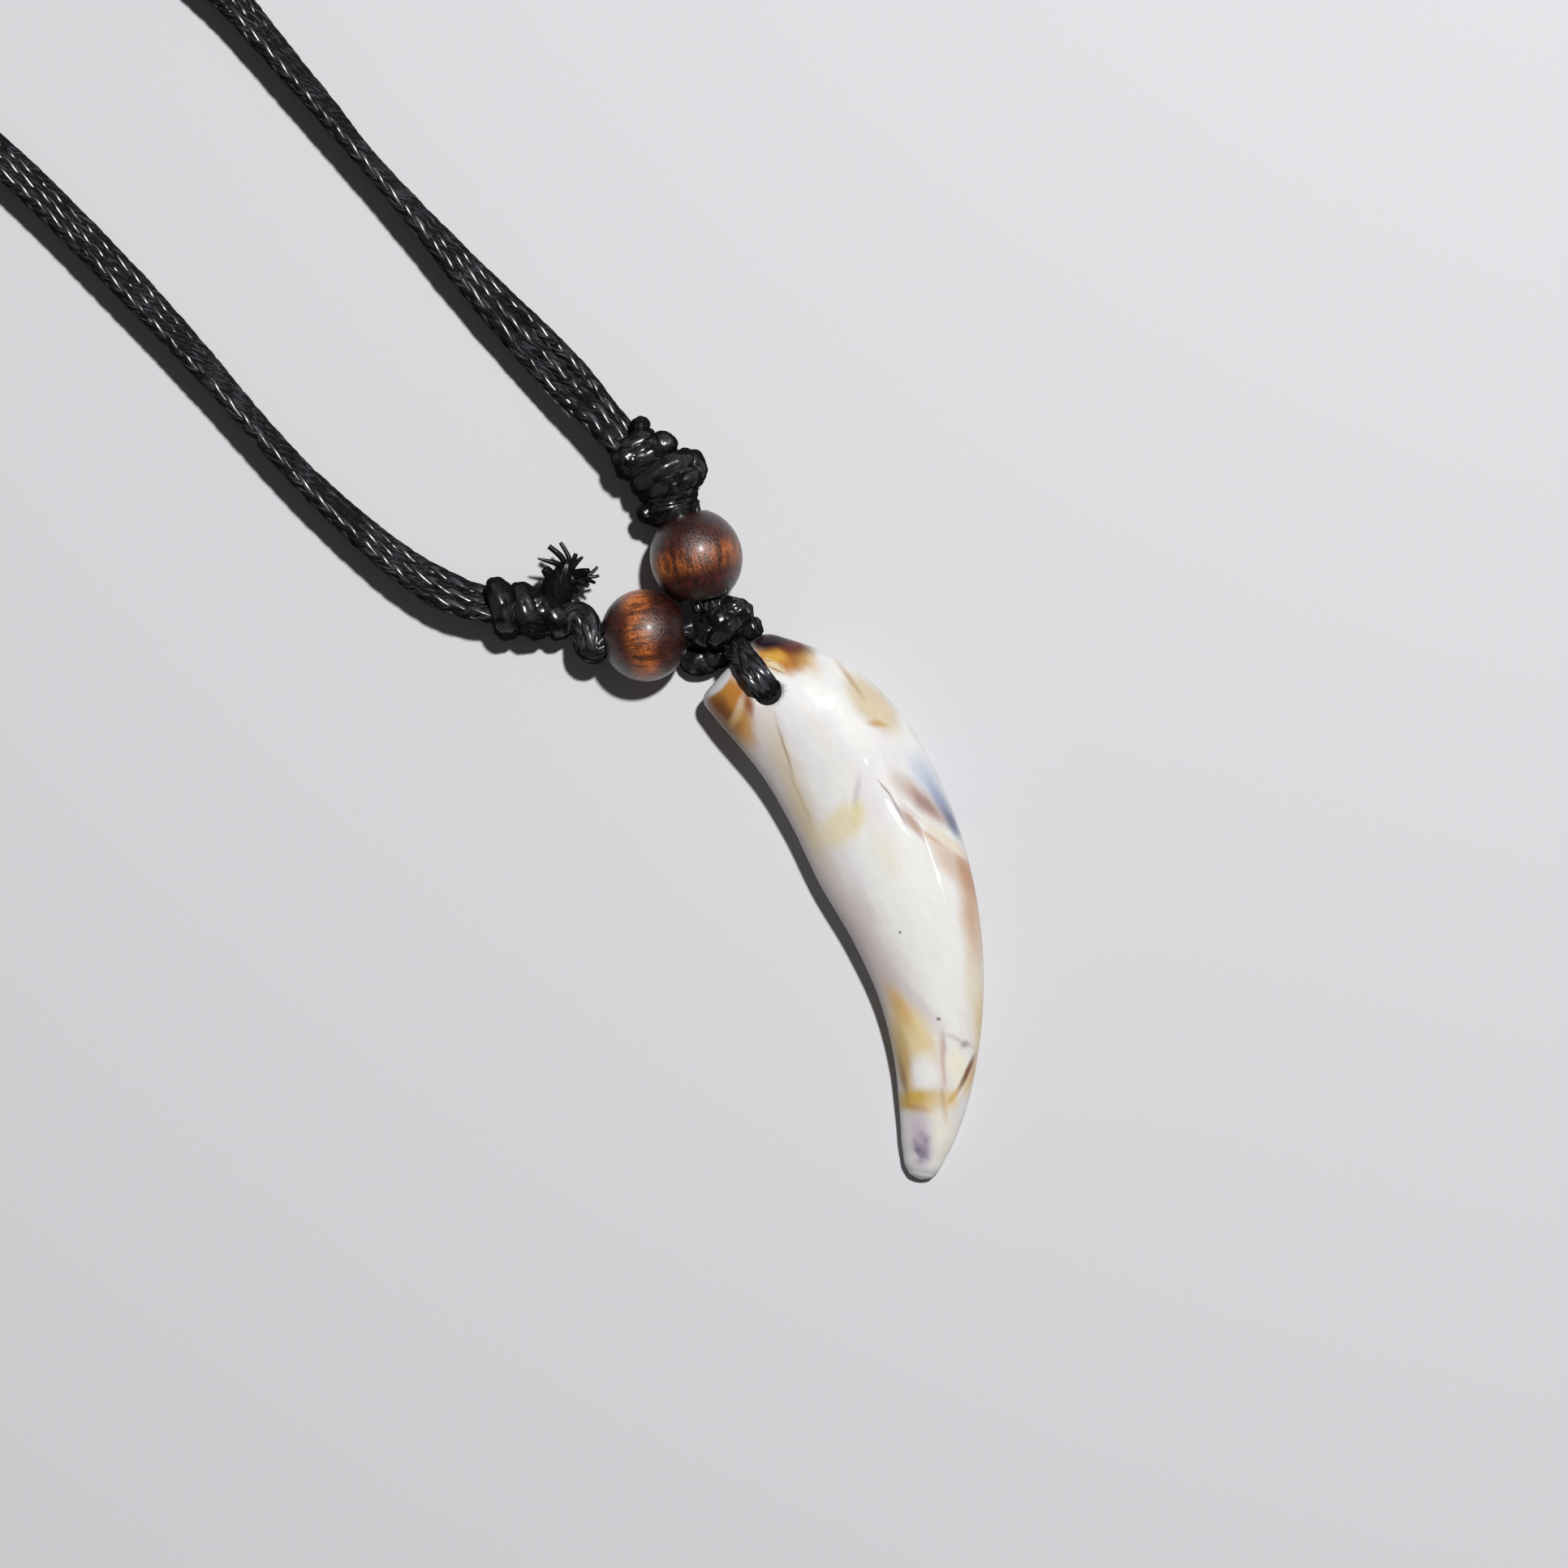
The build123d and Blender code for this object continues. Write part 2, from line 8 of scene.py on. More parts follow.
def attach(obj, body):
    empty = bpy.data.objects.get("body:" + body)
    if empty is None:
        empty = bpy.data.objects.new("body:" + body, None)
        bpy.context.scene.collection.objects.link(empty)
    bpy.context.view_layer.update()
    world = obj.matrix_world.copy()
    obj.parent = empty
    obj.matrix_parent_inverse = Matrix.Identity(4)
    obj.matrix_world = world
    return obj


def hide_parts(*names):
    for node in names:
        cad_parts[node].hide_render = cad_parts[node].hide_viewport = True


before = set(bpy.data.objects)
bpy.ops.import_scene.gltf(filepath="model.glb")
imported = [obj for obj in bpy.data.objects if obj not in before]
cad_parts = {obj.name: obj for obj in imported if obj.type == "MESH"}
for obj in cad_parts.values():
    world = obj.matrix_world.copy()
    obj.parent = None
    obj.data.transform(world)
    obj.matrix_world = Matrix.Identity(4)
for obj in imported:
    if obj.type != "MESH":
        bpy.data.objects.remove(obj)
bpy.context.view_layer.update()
mm = 0.001
rightward, forward, upward = np.eye(3)


def turned(angle):
    # a level direction, at an angle in degrees from x
    return np.array((cos(radians(angle)), sin(radians(angle)), 0.0))


# Camera

view = {
    "middle": (4.22, 1.58, 4.0),  # mm, what the picture is centred on
    "width": 135.6,  # mm across the picture at that height
    "distance": 500.0,
    "sensor": 36.0,
    "nearest": 0.01,  # m
}


def addCamera(view):
    data = bpy.data.cameras.new("camera")
    data.sensor_width = view["sensor"]
    data.lens = view["sensor"] * view["distance"] / view["width"]
    data.clip_start = view["nearest"]
    camera = bpy.data.objects.new("camera", data)
    camera.location = Vector(view["middle"]) * mm + Vector((0, 0, view["distance"] * mm))
    bpy.context.scene.collection.objects.link(camera)
    bpy.context.scene.camera = camera


addCamera(view)
print("camera done")


# Mesh helpers

def newPart():
    return {"points": [], "faces": [], "uvs": [], "count": 0}


def addTube(part, rings, closed=False, travelled=None):
    # rings is rows x corners x 3, in metres; a closed tube joins its last row to its first
    rows, corners = rings.shape[:2]
    base = part["count"]
    if travelled is None:
        travelled = np.arange(rows + 1) * 0.1  # mm a row, near enough for a tube that isn't a yarn
    spans = rows if closed else rows - 1
    row = np.repeat(np.arange(spans), corners)
    corner = np.tile(np.arange(corners), spans)
    near, far = row * corners, (row + 1) % rows * corners
    nextCorner = (corner + 1) % corners
    quads = np.stack((near + corner, near + nextCorner, far + nextCorner, far + corner), axis=1)
    across = np.stack((corner, corner + 1, corner + 1, corner), axis=1) / corners
    start, end = travelled[row], travelled[row + 1]
    along = np.stack((start, start, end, end), axis=1)
    part["points"].append(rings.reshape(-1, 3))
    part["faces"].extend((quads + base).tolist())
    part["uvs"].append(np.stack((across, along), axis=2).reshape(-1, 2))
    if not closed:
        last = base + (rows - 1) * corners
        part["faces"].append([base + i for i in reversed(range(corners))])
        part["faces"].append([last + i for i in range(corners)])
        part["uvs"].append(np.tile((0.5, travelled[0]), (corners, 1)))
        part["uvs"].append(np.tile((0.5, travelled[rows - 1]), (corners, 1)))
    part["count"] += rows * corners


def makeObject(name, part, material):
    mesh = bpy.data.meshes.new(name)
    mesh.from_pydata(np.concatenate(part["points"]).tolist(), [], part["faces"])
    mesh.polygons.foreach_set("use_smooth", [True] * len(mesh.polygons))
    layer = mesh.uv_layers.new(name="yarn")
    layer.data.foreach_set("uv", np.concatenate(part["uvs"]).astype(np.float32).ravel())
    mesh.materials.append(material)
    mesh.update()
    piece = bpy.data.objects.new(name, mesh)
    bpy.context.scene.collection.objects.link(piece)
    return piece


def dressNode(piece, node):
    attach(piece, "root")
    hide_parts(node)


def routePoints(places):
    # a smooth line drawn by Blender's own spline through the route, read back as points in metres
    data = bpy.data.curves.new("route", "CURVE")
    data.dimensions = "3D"
    data.resolution_u = 20
    spline = data.splines.new("NURBS")
    spline.points.add(len(places) - 1)
    for point, (x, y, z) in zip(spline.points, places):
        point.co = (x * mm, y * mm, z * mm, 1)
    spline.order_u = 3
    spline.use_endpoint_u = True
    carrier = bpy.data.objects.new("route", data)
    mesh = bpy.data.meshes.new_from_object(carrier)
    points = np.array([v.co[:] for v in mesh.vertices])
    bpy.data.objects.remove(carrier)
    bpy.data.curves.remove(data)
    bpy.data.meshes.remove(mesh)
    return points


def evenly(points, step):
    # the same line with points at an even step, in metres, and how far along each one is
    gaps = np.linalg.norm(np.diff(points, axis=0), axis=1)
    points = points[np.concatenate(([True], gaps > 1e-9))]  # without points that lie on each other
    reached = np.concatenate(([0], np.cumsum(np.linalg.norm(np.diff(points, axis=0), axis=1))))
    count = max(int(round(reached[-1] / step)), 2)
    travelled = np.linspace(0, reached[-1], count + 1)
    return np.stack([np.interp(travelled, reached, points[:, i]) for i in range(3)], axis=1), travelled


def unit(vectors):
    return vectors / np.linalg.norm(vectors, axis=-1, keepdims=True)


def carriedFrames(points, firstSide):
    # two directions across a line at each point, which don't spin round it
    runs = unit(np.gradient(points, axis=0))
    sides = np.zeros_like(points)
    side = np.array(firstSide, float)
    for index, run in enumerate(runs):
        side = unit(side - run * side.dot(run))
        sides[index] = side
    return sides, np.cross(runs, sides)


def fullTurn(count):
    return np.linspace(0, 2 * pi, count, endpoint=False)


def circle(first, second, turns):
    # ways out from a middle, with first and second across each other
    return np.cos(turns)[:, None] * first + np.sin(turns)[:, None] * second


def roundLine(sides, ups, turns, wide=1.0, high=1.0):
    # from each point of a line, the ways to its ring's corners
    across, over = wide * np.cos(turns), high * np.sin(turns)
    return sides[:, None] * across[:, None] + ups[:, None] * over[:, None]


def roundedEnd(inward, least):
    # the share of its full width that a blunt end has at shares inward of its rounding
    return np.sqrt(np.clip(1 - (1 - np.clip(inward, 0, 1)) ** 2, least, 1))


def grooves(phase, given):
    # given is how many grooves go round, how deep they are and how sharp
    count, depth, sharpness = given
    return depth * (1 - np.abs(np.cos(count / 2 * phase)) ** sharpness)


seedSteps = (7.31, 3.17, 1.93)  # how far each seed moves the noise


def roughness(points, given, seed):
    # smooth seeded noise at points in metres; given is the mm across its lumps and about how high they are
    size, height = given
    shift = Vector([seed * step for step in seedSteps])
    values = [noise.noise(Vector(p) / (size * mm) + shift) for p in points.reshape(-1, 3)]
    return height * np.array(values).reshape(points.shape[:-1])


# Materials

def put(socket, value):
    # another node's output is linked to the socket, and a number or colour is set on it
    if isinstance(value, bpy.types.NodeSocket):
        socket.id_data.links.new(value, socket)
    else:
        socket.default_value = value


def feed(node, **values):
    for name, value in values.items():
        put(node.inputs[name.replace("_", " ")], value)


def place(tree, kind, **settings):
    # a new node with its own settings and its sockets, each by name
    node = tree.nodes.new(kind)
    for key, value in settings.items():
        if key in node.bl_rna.properties:
            setattr(node, key, value)
        else:
            feed(node, **{key: value})
    return node


def newMaterial(name):
    material = bpy.data.materials.new(name)
    material.use_nodes = True
    return material, material.node_tree, material.node_tree.nodes["Principled BSDF"]


def newGroup(name, inputs, outputs):
    # inputs have their first numbers or vectors, and outputs are numbers
    group = bpy.data.node_groups.new(name, "ShaderNodeTree")
    for label, value in inputs.items():
        kind = "NodeSocketVector" if isinstance(value, tuple) else "NodeSocketFloat"
        socket = group.interface.new_socket(label, in_out="INPUT", socket_type=kind)
        socket.default_value = value
    for label in outputs:
        group.interface.new_socket(label, in_out="OUTPUT", socket_type="NodeSocketFloat")
    return group, group.nodes.new("NodeGroupInput").outputs, group.nodes.new("NodeGroupOutput")


def maths(tree, operation, *values, kind="ShaderNodeMath"):
    node = place(tree, kind, operation=operation)
    for socket, value in zip(node.inputs, values):
        put(socket, value)
    return node.outputs[0]


def vectorMaths(tree, operation, *values):
    return maths(tree, operation, *values, kind="ShaderNodeVectorMath")


def mixed(tree, factor, first, second, blend="MIX"):
    node = place(tree, "ShaderNodeMix", data_type="RGBA", blend_type=blend)
    for index, value in ((0, factor), (6, first), (7, second)):  # the node's colour sockets are 6 and 7
        put(node.inputs[index], value)
    return node.outputs[2]


def ranged(tree, value, low, high, start=0.0, end=1.0):
    node = place(tree, "ShaderNodeMapRange", interpolation_type="SMOOTHSTEP")
    for socket, given in zip(node.inputs, (value, low, high, start, end)):
        put(socket, given)
    return node.outputs[0]


def noisy(tree, where, scale, detail=3.0, rough=0.5):
    node = place(tree, "ShaderNodeTexNoise", Vector=where, Scale=scale, Detail=detail, Roughness=rough)
    return node.outputs["Fac"]


def bumped(tree, height, strength, distance, **under):
    node = place(tree, "ShaderNodeBump", Height=height, Strength=strength, Distance=distance, **under)
    return node.outputs[0]


dryOffset = 1000.0  # mm that a dry yarn's length starts below nought, so that the wax leaves it out
yarnLook = {
    "filaments": (1.0, 3.0, 0.6),  # each noise: scale, detail and sometimes roughness
    "patches": (750.0, 2.0),
    "waxed": (0.38, 0.54),
}


def makeYarnGroup():
    # filaments along a yarn, and patches of wax: height and mask
    group, given, made = newGroup(
        "yarnFilaments", {"Filaments": 9.0, "Length": 0.6, "Twist": 0.15}, ("Height", "Wax"),
    )
    uv = place(group, "ShaderNodeUVMap", uv_map="yarn").outputs[0]
    across, along = place(group, "ShaderNodeSeparateXYZ", Vector=uv).outputs[:2]
    twisted = maths(group, "ADD", across, maths(group, "MULTIPLY", along, given["Twist"]))
    count = maths(group, "MULTIPLY", twisted, given["Filaments"])
    length = maths(group, "MULTIPLY", along, given["Length"])
    spot = place(group, "ShaderNodeCombineXYZ", X=count, Y=length).outputs[0]
    patches = noisy(group, place(group, "ShaderNodeTexCoord").outputs["Object"], *yarnLook["patches"])
    waxed = maths(group, "GREATER_THAN", along, -dryOffset / 2)
    wax = maths(group, "MULTIPLY", ranged(group, patches, *yarnLook["waxed"]), waxed)
    feed(made, Height=noisy(group, spot, *yarnLook["filaments"]), Wax=wax)
    return group


yarnGroup = makeYarnGroup()

cordFinish = {
    "black": (0.0075, 0.0075, 0.0090, 1),
    "dusty": (0.082, 0.082, 0.092, 1),
    "lines": (0.50, 0.68),  # filament heights that turn black into dusty
    "filaments": 12.0,
    "length": 0.35,
    "roughness": (0.42, 0.8),  # with wax and without
    "fullWax": 0.5,  # share of wax from which the surface is as smooth as wax
    "shine": (0.18, 0.46),  # how far a face turns away while its wax fades
    "matt": (0.3, 0.6),  # and while the rest turns matt
    "bump": 0.7,
    "bumpDepth": 0.00006,
    "crinkled": 0.2,
    "crinkleDepth": 0.00008,
    "crinkles": (3600.0, 3.0, 0.6),
    "coat": 1.0,
    "coatRoughness": 0.27,
    "coatIor": 2.1,
    "specular": 0.06,
}
knotFinish = dict(
    cordFinish,
    black=(0.0032, 0.0032, 0.0042, 1),
    dusty=(0.024, 0.024, 0.029, 1),
    lines=(0.45, 0.75),
    filaments=40.0,
    length=0.5,
    roughness=(0.30, 0.66),
    crinkled=1.0,
    coatIor=2.3,
)
fibreFinish = dict(
    knotFinish,
    dusty=(0.011, 0.011, 0.0135, 1),
    filaments=6.0,
    roughness=(0.55, 0.8),
    bump=0.2,
    crinkled=0.25,
    coat=0.1,
)


def makeCordMaterial(name, finish):
    material, tree, shader = newMaterial(name)
    yarn = place(tree, "ShaderNodeGroup", node_tree=yarnGroup)
    feed(yarn, Filaments=finish["filaments"], Length=finish["length"])
    height = yarn.outputs["Height"]
    facing = place(tree, "ShaderNodeLayerWeight", Blend=0.5).outputs["Facing"]
    wax = maths(tree, "MULTIPLY", yarn.outputs["Wax"], ranged(tree, facing, *finish["shine"], 1.0, 0.0))
    waxed, dry = finish["roughness"]
    matt = ranged(tree, facing, *finish["matt"], dry, 1.0)
    crinkle = noisy(tree, place(tree, "ShaderNodeTexCoord").outputs["Object"], *finish["crinkles"])
    lined = bumped(tree, height, finish["bump"], finish["bumpDepth"])
    feed(
        shader,
        Base_Color=mixed(tree, ranged(tree, height, *finish["lines"]), finish["black"], finish["dusty"]),
        Roughness=maths(tree, "MINIMUM", ranged(tree, wax, 0.0, finish["fullWax"], 1.0, waxed), matt),
        Normal=bumped(tree, crinkle, finish["crinkled"], finish["crinkleDepth"], Normal=lined),
        Coat_Weight=maths(tree, "MULTIPLY", wax, finish["coat"]),
        Coat_Roughness=finish["coatRoughness"],
        Coat_IOR=finish["coatIor"],
        Specular_IOR_Level=finish["specular"],
    )
    return material


cordMaterial = makeCordMaterial("waxedBraid", cordFinish)
knotMaterial = makeCordMaterial("waxedWraps", knotFinish)
fibreMaterial = makeCordMaterial("frayedFibres", fibreFinish)
print("cord materials done")


# The neck cord: three braided strands a side, from each wrapped knot to the clasp

neckCord = {
    "diameter": 1.5,  # mm
    "gap": 0.1,
    "floorGap": 0.05,
    "lay": 15.0,  # mm for one turn of a yarn round the strand
    "yarns": 16,
    "yarnWidth": 0.50,
    "yarnThickness": 0.26,
    "weave": 0.08,
    "step": 0.34,
    "flatness": 1.0,  # thickness as a share of the width
    "dry": True,  # the yarns that run one way have no wax
    "corners": 4,
    # noise, as roughness reads it
    "wander": (9.0, 0.6),
    "swell": (2.6, 0.10),
    "unruly": (2.2, 0.16),
    "unrulyLift": 3.0,  # how strongly that noise also varies the height of the weave
}
knotCentre = np.array((-0.86, 14.65, 3.2))

# x and y from the centre knot, the ribbon's roll in degrees, and its rise off the surface, in mm
leftRibbon = [
    (-19.07, 2.28, 57, 0.76), (-21.80, 2.60, 57, 0.74), (-24.80, 3.85, 51, 0.62),
    (-28.60, 6.35, 63, 0.30), (-33.25, 10.27, 72, 0.05), (-37.80, 14.70, 78, 0.00),
    (-41.90, 19.40, 79, 0.00), (-46.00, 24.10, 71, 0.00), (-50.40, 28.85, 64, 0.00),
    (-55.60, 34.34, 62, 0.00), (-61.80, 40.45, 61, 0.00), (-68.10, 45.60, 48, 0.00),
    (-74.40, 47.50, 34, 0.00), (-80.50, 45.00, 22, 0.00), (-83.80, 38.80, 12, 0.00),
    (-84.40, 30.20, 6, 0.00), (-82.60, 18.40, 3, 0.00), (-79.00, 4.60, 0, 0.00),
    (-77.00, -10.20, 0, 0.00), (-79.00, -24.00, 0, 0.00), (-85.40, -35.40, 0, 0.00),
    (-96.40, -42.40, 0, 0.00), (-109.60, -44.20, 0, 0.00), (-121.80, -41.00, 0, 0.00),
    (-131.60, -35.00, 0, 0.30), (-139.97, -26.86, 0, 0.70), (-140.49, -20.89, 0, 0.70),
]
rightRibbon = [
    (-7.93, 15.58, 56, 1.20), (-10.60, 18.65, 56, 1.14), (-13.10, 21.40, 33, 1.10),
    (-16.00, 24.45, 34, 0.80), (-19.76, 28.43, 50, 0.40), (-23.80, 32.80, 66, 0.10),
    (-27.60, 37.20, 79, 0.00), (-31.60, 41.58, 83, 0.00), (-35.10, 45.95, 76, 0.00),
    (-38.90, 50.35, 71, 0.00), (-42.50, 54.70, 62, 0.00), (-46.90, 59.00, 50, 0.00),
    (-53.60, 61.80, 40, 0.00), (-63.40, 62.60, 26, 0.00), (-77.60, 62.20, 12, 0.00),
    (-93.20, 61.00, 4, 0.00), (-108.40, 57.60, 0, 0.00), (-121.80, 50.60, 0, 0.00),
    (-132.20, 39.80, 0, 0.00), (-139.00, 26.20, 0, 0.00), (-142.00, 11.60, 0, 0.00),
    (-142.40, 0.20, 0, 0.25), (-141.63, -7.94, 0, 0.70), (-141.11, -13.91, 0, 0.70),
]


def strandRoute(ribbon, lane, cord):
    # lane is -1, 0 or 1, from the ribbon's right edge to its left
    pitch = cord["diameter"] + cord["gap"]
    middles = np.array([knotCentre * (1, 1, 0) + (x, y, 0) for x, y, roll, rise in ribbon])
    steps = unit(np.diff(middles, axis=0))
    inward = np.concatenate((steps[:1], steps))
    outward = np.concatenate((steps, steps[-1:]))
    places = []
    for middle, before, after, (x, y, roll, rise) in zip(middles, inward, outward, ribbon):
        heading = unit(before + after)
        spread = pitch * cos(radians(roll)) / heading.dot(after)
        height = cord["diameter"] / 2 + cord["floorGap"] + rise + pitch * sin(radians(roll)) * (1 + lane)
        places.append(middle + np.cross(upward, heading) * (lane * spread) + upward * height)
    return places


def braid(part, points, cord, seed, firstSide=(0, 0, 1)):
    # yarns that run both ways round a cord and pass over and under each other
    points, travelled = evenly(points, cord["step"] * mm)
    sides, ups = carriedFrames(points, firstSide)
    pairs = cord["yarns"] // 2
    width, thickness, weave = cord["yarnWidth"] / 2 * mm, cord["yarnThickness"] / 2 * mm, cord["weave"] * mm
    wander = roughness(points, cord["wander"], seed)
    swell = 1 + roughness(points, cord["swell"], seed + 50)
    wide = (cord["diameter"] / 2 * mm - thickness - weave) * swell
    thick = (cord["flatness"] * cord["diameter"] / 2 * mm - thickness - weave) * swell
    corners = fullTurn(cord["corners"]) + pi / cord["corners"]
    blunt = 1 / cos(pi / cord["corners"])
    for index in range(cord["yarns"]):
        way = 1 if index % 2 else -1
        own = roughness(points, cord["unruly"], seed * 20 + index)
        angle = (index // 2) * 2 * pi / pairs + way * 2 * pi * travelled / (cord["lay"] * mm) + wander + own
        lift = weave * way * np.cos(pairs / 2 * (angle - wander) - pi / 4)  # over two, under two
        lift = lift * (1 + cord["unrulyLift"] * own)
        middle = points + sides * (wide * np.cos(angle))[:, None] + ups * (thick * np.sin(angle))[:, None]
        radial = unit(sides * (thick * np.cos(angle))[:, None] + ups * (wide * np.sin(angle))[:, None])
        middle = middle + radial * lift[:, None]
        ahead = unit(np.gradient(middle, axis=0))
        across = unit(np.cross(radial, ahead))
        ring = roundLine(across, np.cross(ahead, across), corners, blunt * width, blunt * thickness)
        dry = dryOffset if cord["dry"] and way < 0 else 0
        addTube(part, middle[:, None] + ring, travelled=travelled / mm - dry)
    return points


def addNeckCord(cord):
    for sideName, ribbon in (("left", leftRibbon), ("right", rightRibbon)):
        for number, lane in enumerate((-1, 0, 1), start=1):
            name = f"neck_strand_{sideName}_{number}"
            route = routePoints(strandRoute(ribbon, lane, cord))
            part = newPart()
            line = braid(part, route, cord, seed=number + 3 * (sideName == "left"))
            piece = makeObject(f"braid_{sideName}_{number}", part, cordMaterial)
            dressNode(piece, name)


addNeckCord(neckCord)
print("neck cord done")


# Beads, turned round their holes and lacquered

beads = {
    "upper": {
        "centre": (-3.37, 21.18, 4.0),
        "axis": 103.0,
        "length": 7.6,
        "band": -0.25,  # mm from the middle to the light band
        "bandWidth": 0.85,
        "glow": 1.05,
    },
    "lower": {
        "centre": (-7.81, 14.44, 4.0),
        "axis": 9.3,
        "length": 6.9,
        "band": -0.35,
        "bandWidth": 0.88,
        "glow": 1.6,
    },
}
beadShape = {
    "radius": 4.0,
    "mouth": 1.75,
    "rim": [(0.02, 1.66), (0.12, 1.60)],  # mm in from the end, and radius
    "bore": 1.58,
    "boreStart": 0.4,
    "boreRows": 5,
    "around": 112,
    "profile": 56,
}
beadLook = {
    "dark": (0.014, 0.0034, 0.0028, 1),
    "red": (0.090, 0.0165, 0.0085, 1),
    "orange": (0.62, 0.17, 0.030, 1),
    "ragged": 1.2,  # mm that the grain shifts the edges of the light band
    "bandFades": (0.15, 2.0),  # shares of the band's width
    "speckle": (4.6, 4.0, 0.65),
    # what is read, from and to, and what it gives
    "body": (0.35, 0.7, 0.0, 1.0),
    "strokes": (0.40, 0.58, 0.22, 1.0),
    "clouds": (0.36, 0.60, 0.35, 1.0),
    "mottles": (0.36, 0.58, 0.40, 1.15),
    "ends": (1.6, 3.4, 0.0, 0.75),
    "roughness": (0.3, 0.7, 0.22, 0.40),
    "bump": 1.0,
    "bumpDepth": 0.00007,
    "specular": 0.65,
    "coat": 0.25,
    "coatRoughness": 0.24,
}


grainLook = {"strokes": (6.0, 0.65), "clouds": 0.42}


def makeGrainGroup():
    # wood grain that runs along local x: fine dark strokes and broad clouds
    group, given, made = newGroup(
        "woodGrain", {"Position": (0, 0, 0), "Stretch": 7.0, "Scale": 2.2}, ("Strokes", "Clouds"),
    )
    narrow = maths(group, "DIVIDE", 1.0, given["Stretch"])
    squeeze = place(group, "ShaderNodeCombineXYZ", X=narrow, Y=1.0, Z=1.0)
    stretched = vectorMaths(group, "MULTIPLY", given["Position"], squeeze.outputs[0])
    strokes = noisy(group, stretched, given["Scale"], *grainLook["strokes"])
    feed(made, Strokes=strokes, Clouds=noisy(group, given["Position"], grainLook["clouds"]))
    return group


grainGroup = makeGrainGroup()


def localPlace(tree, centre=(0, 0, 0), angle=0.0):
    # positions in millimetres from a piece's middle, with x along its axis
    where = place(tree, "ShaderNodeTexCoord").outputs["Object"]
    turnedBack = Matrix.Rotation(radians(-angle), 3, "Z") @ Vector(centre)
    moved = place(tree, "ShaderNodeMapping", Vector=where, Location=-turnedBack)
    feed(moved, Rotation=(0, 0, radians(-angle)), Scale=(1 / mm, 1 / mm, 1 / mm))
    return moved.outputs[0]


def makeBeadMaterial(name, bead, look):
    material, tree, shader = newMaterial(name)
    local = localPlace(tree, bead["centre"], bead["axis"])
    grain = place(tree, "ShaderNodeGroup", node_tree=grainGroup, Position=local).outputs
    speckle = noisy(tree, local, *look["speckle"])
    along = place(tree, "ShaderNodeSeparateXYZ", Vector=local).outputs[0]
    offset = maths(tree, "ABSOLUTE", maths(tree, "ADD", along, -bead["band"]))
    ragged = maths(tree, "MULTIPLY_ADD", grain["Strokes"], 2 * look["ragged"], -look["ragged"])
    low, high = (bead["bandWidth"] * share for share in look["bandFades"])
    glow = ranged(tree, maths(tree, "ADD", offset, ragged), low, high, 1.0, 0.0)
    for value, span in ((grain["Clouds"], "clouds"), (speckle, "mottles"), (grain["Strokes"], "strokes")):
        glow = maths(tree, "MULTIPLY", glow, ranged(tree, value, *look[span]))
    glow = maths(tree, "MULTIPLY", glow, bead["glow"])
    body = mixed(tree, ranged(tree, grain["Strokes"], *look["body"]), look["dark"], look["red"])
    body = mixed(tree, ranged(tree, offset, *look["ends"]), body, look["dark"])
    feed(
        shader,
        Base_Color=mixed(tree, glow, body, look["orange"]),
        Roughness=ranged(tree, speckle, *look["roughness"]),
        Normal=bumped(tree, speckle, look["bump"], look["bumpDepth"]),
        Specular_IOR_Level=look["specular"],
        Coat_Weight=look["coat"],
        Coat_Roughness=look["coatRoughness"],
    )
    return material


def addBead(name, bead, shape):
    axis = turned(bead["axis"])
    half = bead["length"] / 2
    start = np.arcsin(shape["mouth"] / shape["radius"])
    stretch = half / cos(start)
    angles = np.linspace(start, pi - start, shape["profile"])
    profile = [(stretch * cos(angle), shape["radius"] * sin(angle)) for angle in angles]
    profile += [(depth - half, radius) for depth, radius in shape["rim"]]
    straight = half - shape["boreStart"]
    profile += [(x, shape["bore"]) for x in np.linspace(-straight, straight, shape["boreRows"])]
    profile += [(half - depth, radius) for depth, radius in reversed(shape["rim"])]
    profile = np.array(profile[::-1])
    out = circle(np.cross(upward, axis), upward, fullTurn(shape["around"]))
    along, radius = profile[None, :, :1], profile[None, :, 1:]
    rings = np.array(bead["centre"]) + axis * along + out[:, None] * radius
    part = newPart()
    addTube(part, rings * mm, closed=True)
    material = makeBeadMaterial(f"lacqueredWood{name.title()}", bead, beadLook)
    dressNode(makeObject(f"wooden_bead_{name}", part, material), f"bead_{name}")


for beadName, bead in beads.items():
    addBead(beadName, bead, beadShape)
print("beads done")


# Short cords: a flattened double cord through each bead, and the one that the tooth hangs from

beadCords = {
    "upper": [(-4.42, 25.72, 4.0), (-3.40, 21.30, 4.0), (-2.32, 16.64, 4.0)],
    "lower": [
        (-15.60, 15.30, 3.0), (-14.20, 16.25, 3.6), (-12.90, 15.90, 4.3), (-12.70, 14.30, 4.5),
        (-12.75, 13.10, 4.3), (-12.00, 13.15, 4.0), (-11.25, 13.87, 4.0), (-10.30, 14.03, 4.0),
        (-3.61, 15.13, 4.0),
    ],
}
arch = {
    "places": [
        (-15.70, 15.20, 3.0), (-14.30, 16.10, 3.5), (-12.98, 15.95, 4.0), (-12.72, 14.40, 4.2),
        (-12.60, 13.20, 4.1), (-11.90, 12.90, 4.0), (-11.50, 13.60, 4.0),
    ],
    "radius": 1.38,
    "flatness": 0.85,
    "corners": 48,
    "step": 0.07,
    "endShare": 0.22,  # share of its length that the blunt end takes
    "endLeast": 0.04,
    "yarns": (7, 0.10, 0.8),  # broad and fine grooves: how many, how deep and how sharp
    "filaments": (21, 0.03, 1.0),
    "twist": 0.22,
    # noise, as roughness reads it
    "lumps": (1.6, 0.10),
    "creases": (0.5, 0.05),
}
